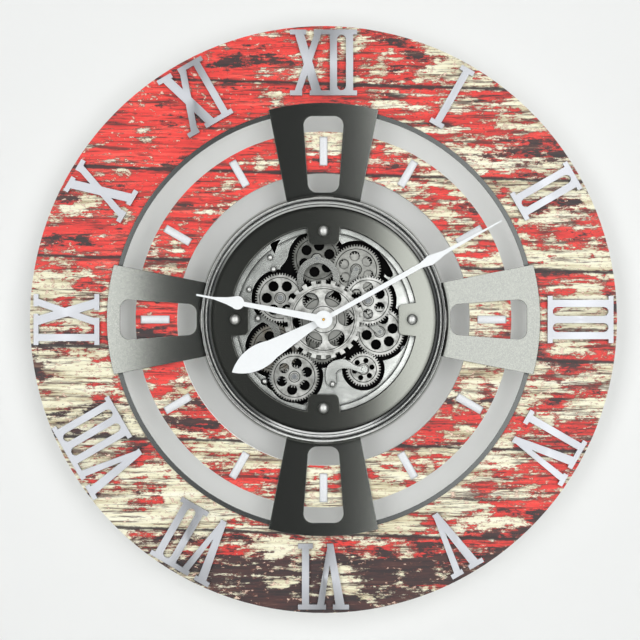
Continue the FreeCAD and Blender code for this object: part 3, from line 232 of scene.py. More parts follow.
# %% Red and cream paint
RED = [(0.24, "7A1512"), (0.37, "CE2620"), (0.52, "EC352C"), (0.64, "F25A4C"), (0.80, "F4B3A2")]
CREAM = [(0.26, "5E4A32"), (0.38, "C3B792"), (0.52, "EAE6C8"), (0.78, "F8F6E6")]
MAROON = [(0.26, "0C0809"), (0.44, "231315"), (0.60, "4A2420"), (0.78, "A98A6C")]
WORN = 0.925


def cream_share(tree, x, z):
    """How much sooner the red wears off here."""
    across = maths(tree, "MULTIPLY", x, 0.12)
    lean = maths(tree, "MULTIPLY_ADD", maths(tree, "MULTIPLY", x, z), 1.5, across)
    lean = maths(tree, "MULTIPLY_ADD", z, -0.22, lean)
    left_edge = maths(tree, "MAXIMUM", maths(tree, "SUBTRACT", -0.18, x), 0.0)
    top_edge = maths(tree, "MAXIMUM", maths(tree, "SUBTRACT", z, 0.20), 0.0)
    lean = maths(tree, "MULTIPLY_ADD", top_edge, 0.75, lean)
    return maths(tree, "MULTIPLY_ADD", left_edge, 0.75, lean)


def worn_paint(tree, x, z, noises):
    """Red over cream, with a brown edge where the one ends."""
    red = ramp(tree, noises["grain"], RED)
    cream = ramp(tree, noises["grain"], CREAM)
    worn = maths(tree, "MULTIPLY_ADD", noises["broad"], 0.42, cream_share(tree, x, z))
    worn = maths(tree, "MULTIPLY_ADD", noises["chips"], 1.0, worn)
    worn = maths(tree, "MULTIPLY_ADD", noises["grain"], 0.42, worn)
    colour = mix(tree, rising(tree, worn, WORN, WORN + 0.035), red, cream)
    steps = [(-0.03, "000000"), (-0.005, "FFFFFF"), (0.01, "FFFFFF"), (0.05, "000000")]
    edge = ramp(tree, worn, [(WORN + step, grey) for step, grey in steps])
    return laid_over(tree, colour, edge, 0.62, "52251A")


# %% [markdown]
# Age adds four things: thin scratches along the grain, maroon to black patches that gather at the foot,
# deep cracks, and small chips that lie near the large ones. The seams come last, with ragged edges.


# %% Age and seams
def aged_paint(tree, colour, z, noises):
    """Scratches, dark patches and cracks."""
    scratch = falling(tree, noises["scratches"], 0.40, 0.48)
    colour = laid_over(tree, colour, scratch, 0.85, "42180F")
    foot = maths(tree, "MAXIMUM", maths(tree, "SUBTRACT", -0.225, z), 0.0)
    aged = maths(tree, "MULTIPLY_ADD", noises["broad"], -0.40, maths(tree, "MULTIPLY_ADD", foot, 3.4, 0.56))
    aged = maths(tree, "MULTIPLY_ADD", noises["cracks"], 1.0, aged)
    aged = maths(tree, "MULTIPLY_ADD", maths(tree, "SUBTRACT", noises["chips"], 0.5), -0.9, aged)
    colour = mix(tree, rising(tree, aged, 0.94, 0.985), colour, ramp(tree, noises["grain"], MAROON))
    return laid_over(tree, colour, falling(tree, noises["cracks"], 0.345, 0.385), 0.9, "1A0B0C")


def chipped_paint(tree, colour, noises):
    """Small chips in rust, pale primer and dark brown."""
    near_chips = maths(tree, "SUBTRACT", noises["chips"], 0.5)
    specks = maths(tree, "MULTIPLY_ADD", near_chips, 0.55, noises["specks"])
    colour = laid_over(tree, colour, rising(tree, specks, 0.585, 0.625), 0.65, "8C4A2E")
    colour = laid_over(tree, colour, rising(tree, specks, 0.625, 0.66), 0.8, "F0D9C4")
    return laid_over(tree, colour, falling(tree, specks, 0.31, 0.35), 0.8, "3A1013")


def seamed(tree, colour, within, noises):
    """Dark seams where one plank ends and the next begins."""
    edge = maths(tree, "MINIMUM", within, maths(tree, "SUBTRACT", 1.0, within))
    ragged = maths(tree, "SUBTRACT", noises["chips"], 0.5)
    edge = maths(tree, "MULTIPLY_ADD", ragged, 0.10, edge)
    return laid_over(tree, colour, falling(tree, edge, 0.010, 0.026), 0.95, "190A0A")


def printed_board():
    """Satin varnish over a print; the cut edges and the back are pale primer."""
    material, tree, surface = new_material("printed board, satin varnish", "C03028", roughness=0.46)
    x, z, within, noises = planks(tree)
    colour = worn_paint(tree, x, z, noises)
    colour = aged_paint(tree, colour, z, noises)
    colour = chipped_paint(tree, colour, noises)
    colour = seamed(tree, colour, within, noises)
    facing = split(tree, add_node(tree, "ShaderNodeTexCoord").outputs["Normal"])[1]
    front = rising(tree, maths(tree, "MULTIPLY", facing, -1.0), 0.4, 0.6)
    tree.links.new(mix(tree, front, hex_colour("D8D8D5"), colour), surface.inputs["Base Color"])
    return material


board = printed_board()
print("board of", len(board.node_tree.nodes), "nodes")

# %% [markdown]
# A metal's colour is its reflection colour, so it sits close to the real metal's, and its roughness says
# how sharply it mirrors the lamps. An Ambient Occlusion node darkens the colour in its corners, which is
# dirt and painted shade together, and its edges are rubbed round, which a Bevel node gives to the shading
# alone.


# %% Wear and painted shade on metal
# near black laid into the corners of the metal: dirt and painted shade
DIRT_AND_SHADE = "0E0F0F"


def radius_from(tree, about):
    """The distance of the point from a centre (x, z) in the dial's plane, in metres."""
    x, _, z = split(tree, place_of(tree, shift=(-about[0], 0, -about[1])))[:3]
    squares = maths(tree, "ADD", maths(tree, "MULTIPLY", x, x), maths(tree, "MULTIPLY", z, z))
    return maths(tree, "SQRT", squares)


def varied_gloss(tree, surface, pattern, spread, roughness):
    """Roughness that swings by this much round its middle value."""
    rough = maths(tree, "MULTIPLY_ADD", pattern, spread, roughness - spread / 2)
    tree.links.new(rough, surface.inputs["Roughness"])


def grained_round(tree, surface):
    """Stretch the highlights along rings about the dial's axis, as a lathe's marks do."""
    along = add_node(tree, "ShaderNodeTangent", direction_type="RADIAL", axis="Y")
    tree.links.new(along.outputs[0], surface.inputs["Tangent"])


def bump_on_edges(tree, surface, height, strength, edge_mm):
    """Fine relief, over edges that are rounded by a fraction of a millimetre."""
    edge = add_node(tree, "ShaderNodeBevel", {"Radius": edge_mm * MM}, samples=8)
    inputs = {"Height": height, "Strength": strength, "Distance": 0.05 * MM, "Normal": edge.outputs[0]}
    node = add_node(tree, "ShaderNodeBump", inputs)
    tree.links.new(node.outputs["Normal"], surface.inputs["Normal"])


def grime_and_shade(tree, surface, colour, reach_mm):
    """Dirt and painted shade in the corners, as far out as this, and the plain metal elsewhere."""
    corner = add_node(tree, "ShaderNodeAmbientOcclusion", {"Distance": reach_mm * MM}, samples=6)
    unshaded_and_clean = rising(tree, corner.outputs["AO"], 0.45, 0.97)
    tree.links.new(mix(tree, unshaded_and_clean, hex_colour(DIRT_AND_SHADE), colour), surface.inputs["Base Color"])


# %% [markdown]
# Five ways of making the surface cover all the metal: brushed in rings, blasted and lacquered, turned on a
# lathe, cast and tumbled, and an even finish for small polished or plated pieces. The finest grains would
# be too small to show, so they are drawn at half a millimetre to a millimetre and a half, near a pixel.

# %% Ways to finish metal
SCRATCH_MM = 0.6
GRIT_MM = 1.0
RING_MM = 0.5
BLOT_MM = 7.0
CAST_BLOT_MM = 30.0
FILE_MARK_MM = 0.9


def brushed(name, colour, roughness, anisotropy):
    """Metal with fine scratches in rings about the dial's middle."""
    more = {"Anisotropic": anisotropy, "Anisotropic_Rotation": 0.25}
    material, tree, surface = new_material(name, colour, 1.0, roughness, **more)
    scratch = noise(tree, vector_of(tree, X=radius_from(tree, (0, 0))), SCRATCH_MM, 2.0, 0.6)
    varied_gloss(tree, surface, scratch, 0.16, roughness)
    grained_round(tree, surface)
    bump(tree, surface, scratch, 0.12, 0.05)
    return material


def blasted(name, colour, roughness, dark, light, depth):
    """Sheet with a fine grit under a thin lacquer."""
    material, tree, surface = new_material(name, colour, 1.0, roughness)
    grit = noise(tree, place_of(tree), GRIT_MM, 2.0, 0.7)
    # corners darkened towards near black: dirt and painted shade
    grime_and_shade(tree, surface, ramp(tree, grit, [(0.30, dark), (0.50, colour), (0.72, light)]), 4.0)
    bump_on_edges(tree, surface, grit, depth, 0.6)
    return material


def turned_steel(name, colour, about, shaded_lines_mm=(), roughness=0.34, stained="747571"):
    """Metal turned on a lathe about (x, z), with fine rings, and engraved lines at these radii painted near
    black as painted shade.
    """
    material, tree, surface = new_material(name, colour, 1.0, roughness, Anisotropic=0.3)
    radius = radius_from(tree, about)
    rings = noise(tree, vector_of(tree, X=radius), RING_MM, 2.0, 0.6)
    blots = ramp(tree, noise(tree, place_of(tree), BLOT_MM, 4.0, 0.6), [(0.35, "6C6C69"), (0.62, "FFFFFF")])
    tone = mix(tree, blots, hex_colour(stained), hex_colour(colour))
    for line in shaded_lines_mm:
        off = maths(tree, "ABSOLUTE", maths(tree, "SUBTRACT", radius, line * MM))
        off_mm = maths(tree, "MULTIPLY", off, 1000.0)
        # each line is painted near black, as painted shade in a groove
        tone = mix(tree, falling(tree, off_mm, 0.28, 0.50), tone, hex_colour("1A1B1A"))
    # corners darkened towards near black: dirt and painted shade
    grime_and_shade(tree, surface, tone, 3.0)
    varied_gloss(tree, surface, rings, 0.16, roughness)
    grained_round(tree, surface)
    bump_on_edges(tree, surface, rings, 0.10, 0.4)
    return material


def cast_metal(name, colour, roughness, worn):
    """Tumbled casting: soft blots of tone and faint file marks."""
    material, tree, surface = new_material(name, colour, 1.0, roughness)
    blots = rising(tree, noise(tree, place_of(tree), CAST_BLOT_MM, 3.0, 0.5), 0.32, 0.60)
    marks = noise(tree, place_of(tree, (0.12, 1, 1), (0, 0.6, 0)), FILE_MARK_MM, 3.0, 0.6)
    tone = mix(tree, blots, hex_colour(worn), hex_colour(colour))
    tone = laid_over(tree, tone, falling(tree, marks, 0.36, 0.50), 0.12, "4C4E4D")
    # corners darkened towards near black: dirt and painted shade
    grime_and_shade(tree, surface, tone, 4.0)
    bump_on_edges(tree, surface, marks, 0.04, 0.35)
    return material


def even_finish(name, colour, shade, metallic, roughness, grain_mm, **more):
    """A smooth surface whose tone and gloss vary a little, with a grain about this many mm across."""
    material, tree, surface = new_material(name, colour, metallic, roughness, **more)
    grain = noise(tree, place_of(tree), grain_mm, 3.0)
    tree.links.new(ramp(tree, grain, [(0.32, shade), (0.58, colour)]), surface.inputs["Base Color"])
    varied_gloss(tree, surface, grain, 0.10, roughness)
    bump(tree, surface, grain, 0.06, 0.03)
    return material


# %% [markdown]
# The numerals are satin steel with a bluish cast. The brackets and the dish are sheet with a warm grey
# lacquer, smooth enough to mirror a softbox at one side and the dark room at the other. The wheels are
# turned, the plate is a silvered casting, and its bridges are the same casting left darker.

# %% Metals
CENTRE = (0, 0)
# radii of engraved lines and grooves, all painted near black as painted shade
CENTRE_WHEEL_LINES = (31.5, 13.5)
FINE_WHEEL_LINES = (22.0,)
BEZEL_SHADED_GROOVES = (117.2, 121.25, 125.4)

# fine rings give the numerals long soft highlights
numeral_steel = brushed("satin steel", "A3A5A9", 0.34, anisotropy=0.75)
# the lacquer seals the grit, so the sheet glosses like smooth metal
sheet_steel = blasted("blasted sheet steel, grey lacquer", "7A7C77", 0.12, "707270", "848681", depth=0.02)
dish_steel = blasted("blasted sheet steel, dark lacquer", "7C7E78", 0.12, "747670", "848680", depth=0.02)
# anodised aluminium looks half painted, half metal
baton_steel = even_finish("satin aluminium", "D3D5D7", "C8CACC", 0.3, 0.45, 1.2)
# turned faces show rings, and their engraved lines are painted dark as painted shade
# the wheel behind the centre wheel is painted darker: painted shade
shaded_fine_wheel_steel = turned_steel("turned steel, behind the centre wheel", "7C7D79", CENTRE, FINE_WHEEL_LINES)
gear_steel = turned_steel("turned steel, centre wheels", "BDBEBA", CENTRE, CENTRE_WHEEL_LINES)
# nickel mirrors, and its grooves are painted dark as painted shade
bezel_steel = turned_steel("satin nickel plate", "DADBD9", CENTRE, BEZEL_SHADED_GROOVES, 0.20, "CFD0CE")
hoop_steel = turned_steel("rolled steel, dark plate", "505251", CENTRE, (), 0.24, "505251")
# tumbling leaves screw heads bright but not sharp
tumbled_steel = even_finish("tumbled steel", "BDBEBB", "A9AAA7", 1.0, 0.40, 0.8)
zinc = even_finish("zinc plated steel", "7C7F80", "6B6E70", 1.0, 0.32, 1.5)
brass = even_finish("polished brass", "C9A14E", "A8843A", 1.0, 0.22, 0.6)
# castings are uneven in tone, with faint marks from filing
silver_plate = cast_metal("cast zinc, silvered", "C6C9C5", 0.25, "9B9E9A")
bridge_metal = cast_metal("cast zinc, dark", "9EA09C", 0.24, "8A8C88")
print(len(bpy.data.materials), "materials so far")

# %% [markdown]
# The case, its knob and the door are moulded plastic, whose fine grain comes from a spark-eroded mould.
# The floor behind the wheels is left dull and is coloured a darker black than the case, which is painted
# shade, so that it reads as a deep shadow. The hands are pressed sheet with a smooth satin enamel.


# %% Plastics and enamel
def grained_plastic(name, colour, roughness):
    """Moulded plastic with a fine spark-eroded grain."""
    material, tree, surface = new_material(name, colour, 0.0, roughness)
    bump(tree, surface, noise(tree, place_of(tree), 0.8, 2.0), 0.25, 0.05)
    return material


black_plastic = grained_plastic("moulded black ABS", "17181A", 0.48)
grey_plastic = grained_plastic("moulded grey ABS", "6A6C6F", 0.5)
# a black darker than the case's: painted shade behind the wheels
shadow_black_plastic = even_finish("dull black ABS", "060606", "040404", 0.0, 0.85, 0.8, Specular_IOR_Level=0.1)
white_enamel = even_finish("satin white enamel", "E6E9EA", "E4E7E8", 0.0, 0.38, 2.5)
cell_wrap = even_finish("plain printed wrap", "31506E", "2A4660", 0.0, 0.3, 3.0)

# %% Finishes on the solids
FINISHES = {
    board: ["outer_ring", "inner_ring"],
    numeral_steel: ["numeral_%02d" % i for i in range(1, 13)],
    sheet_steel: ["bracket_top", "bracket_right", "bracket_bottom", "bracket_left"],
    dish_steel: ["dish_plate"],
    baton_steel: ["hour_batons"],
    hoop_steel: ["rim_hoop"],
    tumbled_steel: ["dish_screws", "plate_screws"],
    bezel_steel: ["bezel"],
    zinc: [
        "post_clips", "motor_pinion", "ring_spacers", "centre_post", "floor_screws", "hanger_plate",
        "hanger_screws", "gear_posts",
    ],
    gear_steel: ["centre_wheel"],
    shaded_fine_wheel_steel: ["centre_fine_wheel"],
    silver_plate: ["gear_plate"],
    black_plastic: ["rear_case", "clock_movement"],
    shadow_black_plastic: ["floor_plate"],
    grey_plastic: ["gear_motor", "set_knob", "battery_door", "gear_switch"],
    bridge_metal: ["horseshoe_bridge", "twin_bridge", "beak_cock", "curved_bridge"],
    white_enamel: ["hour_hand", "minute_hand", "second_hand"],
    cell_wrap: ["battery_cells"],
}


def paint(node, material):
    """Put a material on a solid through its object's slots."""
    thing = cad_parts[node]
    if not thing.material_slots:
        thing.data.materials.append(None)
    for place in thing.material_slots:
        place.link = "OBJECT"
        place.material = material


for material, nodes in FINISHES.items():
    for node in nodes:
        paint(node, material)
print(sum(len(nodes) for nodes in FINISHES.values()), "solids finished")

# %% [markdown]
# The wheels are not all one tone: those further back are painted darker, which is painted shade. Each is
# turned about its own axis and has an engraved line inside its teeth and another round its hub, both painted
# dark as painted shade.

# %% Wheels
# the darker wheels stand further back: their darker tone is painted shade
WHEEL_TONES_WITH_SHADE = {
    "gear_left": "A6A7A3",
    "gear_right": "BDBEBA",
    "gear_upper_right": "93948F",
    "gear_lower_right": "B2B3AF",
    "gear_top": "585955",
    "gear_bottom_right": "B8B9B5",
    "gear_behind_centre": "5A5B57",
    "gear_bottom_left": "A8A9A5",
    "gear_lower_left": "5E5A52",
}
LINE_INSIDE_TIP = 4.6
HUB_LINE = 5.6


def middle_of(node):
    """The x and z of the middle of a solid's box."""
    low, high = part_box(node)
    return ((low[0] + high[0]) / 2, (low[2] + high[2]) / 2)


for node, colour in WHEEL_TONES_WITH_SHADE.items():
    low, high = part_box(node)
    tip = (high[0] - low[0]) / 2 / MM
    name = "turned steel, " + node.replace("_", " ")
    paint(node, turned_steel(name, colour, middle_of(node), (tip - LINE_INSIDE_TIP, HUB_LINE)))
print(len(WHEEL_TONES_WITH_SHADE), "wheels turned")

# %% [markdown]
# What repeats is made by node trees. A domed screw is half a ball, flattened, with its flat side closed.
# The solids already hold each screw as a plain head in its place, so the tree is given one point for each
# of those heads and puts a dome on every point. The heads' places are read from the loose parts of the
# solid, which keeps both in step if a size of the clock changes.


# %% Reading the solids
def merged_copy(node):
    """A solid's triangles, joined at their corners, as a new bmesh."""
    shape = bmesh.new()
    shape.from_mesh(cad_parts[node].data)
    bmesh.ops.remove_doubles(shape, verts=shape.verts, dist=1e-6)
    return shape


def loose_parts(node):
    """The lowest and highest corner of each separate solid in a node."""
    shape = merged_copy(node)
    found, seen = [], set()
    for start in shape.verts:
        if start in seen:
            continue
        seen.add(start)
        heap, corners = [start], []
        while heap:
            vert = heap.pop()
            corners.append(vert.co.copy())
            for edge in vert.link_edges:
                other = edge.other_vert(vert)
                if other not in seen:
                    seen.add(other)
                    heap.append(other)
        found.append([Vector(pick(c[i] for c in corners) for i in range(3)) for pick in (min, max)])
    shape.free()
    return found


# %% Node tree helpers
def geometry_tree(name, sizes):
    """An empty tree with named inputs; returns the tree, its input node and a way to end it."""
    tree = bpy.data.node_groups.new(name, "GeometryNodeTree")
    tree.interface.new_socket(name="Geometry", in_out="INPUT", socket_type="NodeSocketGeometry")
    for size in sizes:
        tree.interface.new_socket(name=size, in_out="INPUT", socket_type="NodeSocketFloat")
    tree.interface.new_socket(name="Material", in_out="INPUT", socket_type="NodeSocketMaterial")
    tree.interface.new_socket(name="Geometry", in_out="OUTPUT", socket_type="NodeSocketGeometry")
    given = tree.nodes.new("NodeGroupInput")

    def end(instances):
        real = add_node(tree, "GeometryNodeRealizeInstances", {"Geometry": instances})
        smooth = add_node(tree, "GeometryNodeSetShadeSmooth", {"Geometry": real.outputs[0]})
        finished = {"Geometry": smooth.outputs[0], "Material": given.outputs["Material"]}
        finish = add_node(tree, "GeometryNodeSetMaterial", finished)
        out = tree.nodes.new("NodeGroupOutput")
        tree.links.new(finish.outputs[0], out.inputs[0])

    return tree, given, end


def on_points(tree, given, instance):
    """One copy of an instance on each given point."""
    inputs = {"Points": given.outputs["Geometry"], "Instance": instance}
    return add_node(tree, "GeometryNodeInstanceOnPoints", inputs).outputs[0]


def upright(tree, geometry, **inputs):
    """A shape whose +Z is turned to face the viewer, at -Y."""
    node = add_node(tree, "GeometryNodeTransform", {"Geometry": geometry, **inputs})
    node.inputs["Rotation"].default_value = (math.radians(90), 0, 0)
    return node.outputs[0]


def less_than(tree, value, limit):
    """Where a value is below a limit."""
    inputs = {"A": value, "B": limit}
    return add_node(tree, "FunctionNodeCompare", inputs, data_type="FLOAT", operation="LESS_THAN").outputs[0]


def settled(piece, mesh, body, replaced):
    """Give a new piece its final mesh and its body, and hide the nodes it stands for."""
    piece.data = mesh
    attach(piece, body)
    if replaced:
        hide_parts(*replaced)
    print(piece.name, len(mesh.polygons), "faces on", body)


def new_object(name, mesh):
    """An object for a mesh, in the scene, at the origin."""
    thing = bpy.data.objects.new(name, mesh)
    bpy.context.scene.collection.objects.link(thing)
    return thing


def grown(name, points, tree, values, body, replaced=()):
    """A piece that a tree grows on these points, as a plain mesh on its body."""
    mesh = bpy.data.meshes.new(name)
    mesh.from_pydata([tuple(point) for point in points], [], [])
    piece = new_object(name, mesh)
    modifier = piece.modifiers.new("grown", "NODES")
    modifier.node_group = tree
    for socket in tree.interface.items_tree:
        if socket.in_out == "INPUT" and socket.name in values:
            modifier[socket.identifier] = values[socket.name]
    bpy.context.view_layer.update()
    shape = bpy.data.meshes.new_from_object(piece.evaluated_get(bpy.context.evaluated_depsgraph_get()))
    piece.modifiers.remove(modifier)
    settled(piece, shape, body, replaced)


# %% Domed screws
DOME_HEIGHTS = {"dish_screws": 3.4, "plate_screws": 2.2}


def dome_tree():
    """Half a ball on each point, with its flat side closed."""
    tree, given, end = geometry_tree("domed screw", ("Head radius", "Dome height"))
    ball = add_node(tree, "GeometryNodeMeshUVSphere", {"Segments": 32, "Rings": 16, "Radius": 1.0})
    height = split(tree, tree.nodes.new("GeometryNodeInputPosition").outputs[0])[2]
    lower_half = {"Geometry": ball.outputs[0], "Selection": less_than(tree, height, -0.01)}
    half = add_node(tree, "GeometryNodeDeleteGeometry", lower_half, domain="POINT")
    closed = add_node(tree, "GeometryNodeConvexHull", {"Geometry": half.outputs[0]})
    radius = given.outputs["Head radius"]
    scale = vector_of(tree, X=radius, Y=radius, Z=given.outputs["Dome height"])
    end(on_points(tree, given, upright(tree, closed.outputs[0], Scale=scale)))
    return tree


dome = dome_tree()
for node, rise in DOME_HEIGHTS.items():
    heads = loose_parts(node)
    widths = sorted(high.x - low.x for low, high in heads)
    seats = [((low.x + high.x) / 2, high.y, (low.z + high.z) / 2) for low, high in heads]
    sizes = {"Head radius": widths[len(heads) // 2] / 2, "Dome height": rise * MM, "Material": tumbled_steel}
    grown(node + "_domed", seats, dome, sizes, "clock_frame", (node,))

# %% [markdown]
# The twelve batons are one bar, turned by a twelfth of a turn each time. The bar's front edges are
# chamfered: its front face is pushed out a little and shrunk.

# %% Batons
CHAMFER = 0.4 * MM
FRONT_FACE_SHARE = 0.9
HOURS = 12


def chamfered_bar(tree, given):
    """One bar whose front face stands out and is smaller."""
    width, thickness, length = (given.outputs[size] for size in ("Width", "Thickness", "Length"))
    bar = add_node(tree, "GeometryNodeMeshCube", {"Size": vector_of(tree, X=width, Y=thickness, Z=length)})
    facing = split(tree, tree.nodes.new("GeometryNodeInputNormal").outputs[0])[1]
    front = less_than(tree, facing, -0.5)
    pushing = {"Mesh": bar.outputs[0], "Selection": front, "Offset Scale": given.outputs["Chamfer"]}
    pushed = add_node(tree, "GeometryNodeExtrudeMesh", pushing)
    shrinking = {
        "Geometry": pushed.outputs["Mesh"],
        "Selection": pushed.outputs["Top"],
        "Scale": FRONT_FACE_SHARE,
    }
    return add_node(tree, "GeometryNodeScaleElements", shrinking).outputs[0]


def baton_tree():
    """Twelve bars round a circle, each turned to point at its middle."""
    sizes = ("Circle radius", "Length", "Width", "Thickness", "Seat", "Chamfer")
    tree, given, end = geometry_tree("batons round a dial", sizes)
    radius = given.outputs["Circle radius"]
    index = tree.nodes.new("GeometryNodeInputIndex").outputs[0]
    turn = maths(tree, "MULTIPLY", index, 2 * math.pi / HOURS)
    across = maths(tree, "MULTIPLY", maths(tree, "SINE", turn), radius)
    up = maths(tree, "MULTIPLY", maths(tree, "COSINE", turn), radius)
    place = vector_of(tree, X=across, Y=given.outputs["Seat"], Z=up)
    spots = add_node(tree, "GeometryNodePoints", {"Count": HOURS, "Position": place})
    spread = {
        "Points": spots.outputs[0],
        "Instance": chamfered_bar(tree, given),
        "Rotation": vector_of(tree, Y=turn),
    }
    end(add_node(tree, "GeometryNodeInstanceOnPoints", spread).outputs[0])
    return tree


low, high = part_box("hour_batons")
first_low, first_high = max(loose_parts("hour_batons"), key=lambda part: part[1].z)
baton_sizes = {
    "Circle radius": (first_low.z + first_high.z) / 2,
    "Length": first_high.z - first_low.z,
    "Width": first_high.x - first_low.x,
    "Thickness": high[1] - low[1] - CHAMFER,
    "Seat": (low[1] + CHAMFER + high[1]) / 2,
    "Chamfer": CHAMFER,
    "Material": baton_steel,
}
batons = baton_tree()
replaced = ("hour_batons",)
grown("hour_batons_chamfered", [(0, 0, 0)], batons, baton_sizes, "clock_frame", replaced)

# %% [markdown]
# Each wheel's hub ends in a turned bead round its pivot. A small circle swept round a larger one makes
# it, and each wheel gets its own bead, because it turns with that wheel.

# %% Hub beads
BEAD_SIZES = {"Ring radius": 2.8 * MM, "Wire radius": 0.55 * MM, "Material": tumbled_steel}


def circle(tree, points, radius):
    """A round curve."""
    inputs = {"Resolution": points, "Radius": radius}
    return add_node(tree, "GeometryNodeCurvePrimitiveCircle", inputs).outputs[0]


def bead_tree():
    """A ring of round wire on each point."""
    tree, given, end = geometry_tree("hub bead", ("Ring radius", "Wire radius"))
    ring = circle(tree, 32, given.outputs["Ring radius"])
    wire = circle(tree, 12, given.outputs["Wire radius"])
    tube = add_node(tree, "GeometryNodeCurveToMesh", {"Curve": ring, "Profile Curve": wire})
    end(on_points(tree, given, upright(tree, tube.outputs[0])))
    return tree


bead = bead_tree()
for node in WHEEL_TONES_WITH_SHADE:
    x, z = middle_of(node)
    place = (x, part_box(node)[0][1], z)
    grown(node + "_hub_bead", [place], bead, BEAD_SIZES, node + "_body")

# %% [markdown]
# The cock over the small lower wheel is a curved arm like a bird's beak. Its foot stands on the silver
# plate and its tip holds the wheel's post. It is drawn as an outline, which is pushed out to the arm's
# thickness, with a round boss under the foot. Corners that are cut a few times make a smooth curve.


# %% Outlines
def pushed_out(shape, outline, back, front):
    """Add a closed outline with this depth to a mesh; y gets less towards the viewer."""
    face = shape.faces.new([shape.verts.new((x * MM, back, z * MM)) for x, z in outline])
    made = bmesh.ops.extrude_face_region(shape, geom=[face])["geom"]
    moved = [part for part in made if isinstance(part, bmesh.types.BMVert)]
    bmesh.ops.translate(shape, vec=(0, front - back, 0), verts=moved)


def round_outline(x, z, radius, sides=40):
    """A circle in millimetres, as an outline."""
    turns = [2 * math.pi * i / sides for i in range(sides)]
    return [(x + radius * math.cos(turn), z + radius * math.sin(turn)) for turn in turns]


def rounded_line(points, rounds=3):
    """Corners cut again and again, until the outline is smooth."""
    for _ in range(rounds):
        points = [
            (a[0] + (b[0] - a[0]) * share, a[1] + (b[1] - a[1]) * share)
            for a, b in zip(points, points[1:] + points[:1])
            for share in (0.25, 0.75)
        ]
    return points


def mesh_of(name, shape):
    """A finished mesh from a bmesh, with its faces outwards, which it frees."""
    bmesh.ops.recalc_face_normals(shape, faces=shape.faces)
    mesh = bpy.data.meshes.new(name)
    shape.to_mesh(mesh)
    shape.free()
    return mesh


# %% Beaked cock
# Outline in millimetres from the dial's middle, clockwise from the foot.
COCK_OUTLINE = [
    (7.4, -68.5), (3.6, -66.0), (2.0, -60.5), (2.2, -53.0), (4.6, -46.5), (10.0, -42.4), (16.5, -40.6),
    (22.5, -40.8), (27.0, -43.6), (31.5, -47.0), (36.5, -48.6), (41.2, -47.2), (44.4, -48.6), (45.2, -51.6),
    (43.4, -54.4), (39.6, -54.8), (34.5, -53.2), (28.5, -50.6), (22.0, -49.8), (16.0, -50.8), (12.4, -53.6),
    (12.2, -58.5), (13.6, -63.5), (11.6, -67.4),
]
ARM_THICKNESS = 1.2 * MM
TIP_HEIGHT = 0.5 * MM
# The foot's front stays this far behind the arm's back, so that no two faces lie in one plane.
HAIRLINE_GAP = 0.02 * MM
# The foot's place, x and z, and its radius, then the tip's radius: in millimetres, like the outline.
FOOT = (8.2, -62.5, 4.4)
TIP_RADIUS = 1.9

low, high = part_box("beak_cock")
arm_back = low[1] + ARM_THICKNESS
wheel_x, wheel_z = middle_of("gear_bottom_right")
shape = bmesh.new()
pushed_out(shape, rounded_line(COCK_OUTLINE), arm_back, low[1])
pushed_out(shape, round_outline(*FOOT), high[1], arm_back + HAIRLINE_GAP)
pushed_out(shape, round_outline(wheel_x / MM, wheel_z / MM, TIP_RADIUS), low[1], low[1] - TIP_HEIGHT)
mesh = mesh_of("beaked_cock", shape)
mesh.materials.append(silver_plate)
cock = new_object("beaked_cock", mesh)
settled(cock, mesh, "clock_frame", ("beak_cock",))

# %% [markdown]
# The silver plate is pierced between its wheels: a leaf in its upper left, the wedge beside it and a
# crescent at its upper right. They are cut from a merged copy of the solid with a Boolean, which leaves
# real walls at the edges of the holes, so that they look deep from every side.

# %% Pierced plate
LEAVES = [
    [(-54.9, 77.4), (-49.6, 80.2), (-42.6, 82.2), (-46.6, 77.6), (-48.6, 72.1), (-50.2, 67.0), (-53.0, 72.1)],
    [(-35.6, 67.0), (-38.6, 60.0), (-45.4, 52.6), (-43.0, 45.0), (-29.0, 44.0), (-29.0, 62.0)],
    [(55.0, 70.6), (61.6, 64.2), (68.0, 54.6), (72.6, 44.8), (67.0, 42.6), (60.4, 48.6), (56.8, 58.9)],
]
CLEARANCE = 2 * MM

low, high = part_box("gear_plate")
shape = bmesh.new()
for leaf in LEAVES:
    pushed_out(shape, rounded_line(leaf, 2), high[1] + CLEARANCE, low[1] - CLEARANCE)
knife = new_object("leaf knife", mesh_of("leaf knife", shape))
shape = merged_copy("gear_plate")
mesh = bpy.data.meshes.new("gear_plate_pierced")
shape.to_mesh(mesh)
shape.free()
plate = new_object("gear_plate_pierced", mesh)
cut = plate.modifiers.new("leaves", "BOOLEAN")
cut.operation = "DIFFERENCE"
cut.solver = "EXACT"
cut.object = knife
bpy.context.view_layer.update()
mesh = bpy.data.meshes.new_from_object(plate.evaluated_get(bpy.context.evaluated_depsgraph_get()))
plate.modifiers.remove(cut)
bpy.data.objects.remove(knife)
mesh.materials.clear()
mesh.materials.append(silver_plate)
settled(plate, mesh, "clock_frame", ("gear_plate",))

# %% [markdown]
# A small brass pin closes the pipe of the second hand, in the middle of the hub.

# %% Brass pin
PIN_SIZES = {"Head radius": 1.5 * MM, "Dome height": 0.7 * MM, "Material": brass}
PIN_SINK = 0.05 * MM

low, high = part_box("second_hand")
grown("second_hand_pin", [(0, low[1] + PIN_SINK, 0)], dome, PIN_SIZES, "second_hand_body")

# %% [markdown]
# The clock hangs on a pale wall, which stays behind it as a backdrop. Only the camera's side of the wall
# is solid: from behind it lets the view and the rear lamp's light through, so that the back of the case
# can be looked at. A pale floor lies below the picture.

# %% Wall and floor
REACH = 3.0
WALL_GAP = 1.5 * MM
FLOOR_LEVEL = -1.35


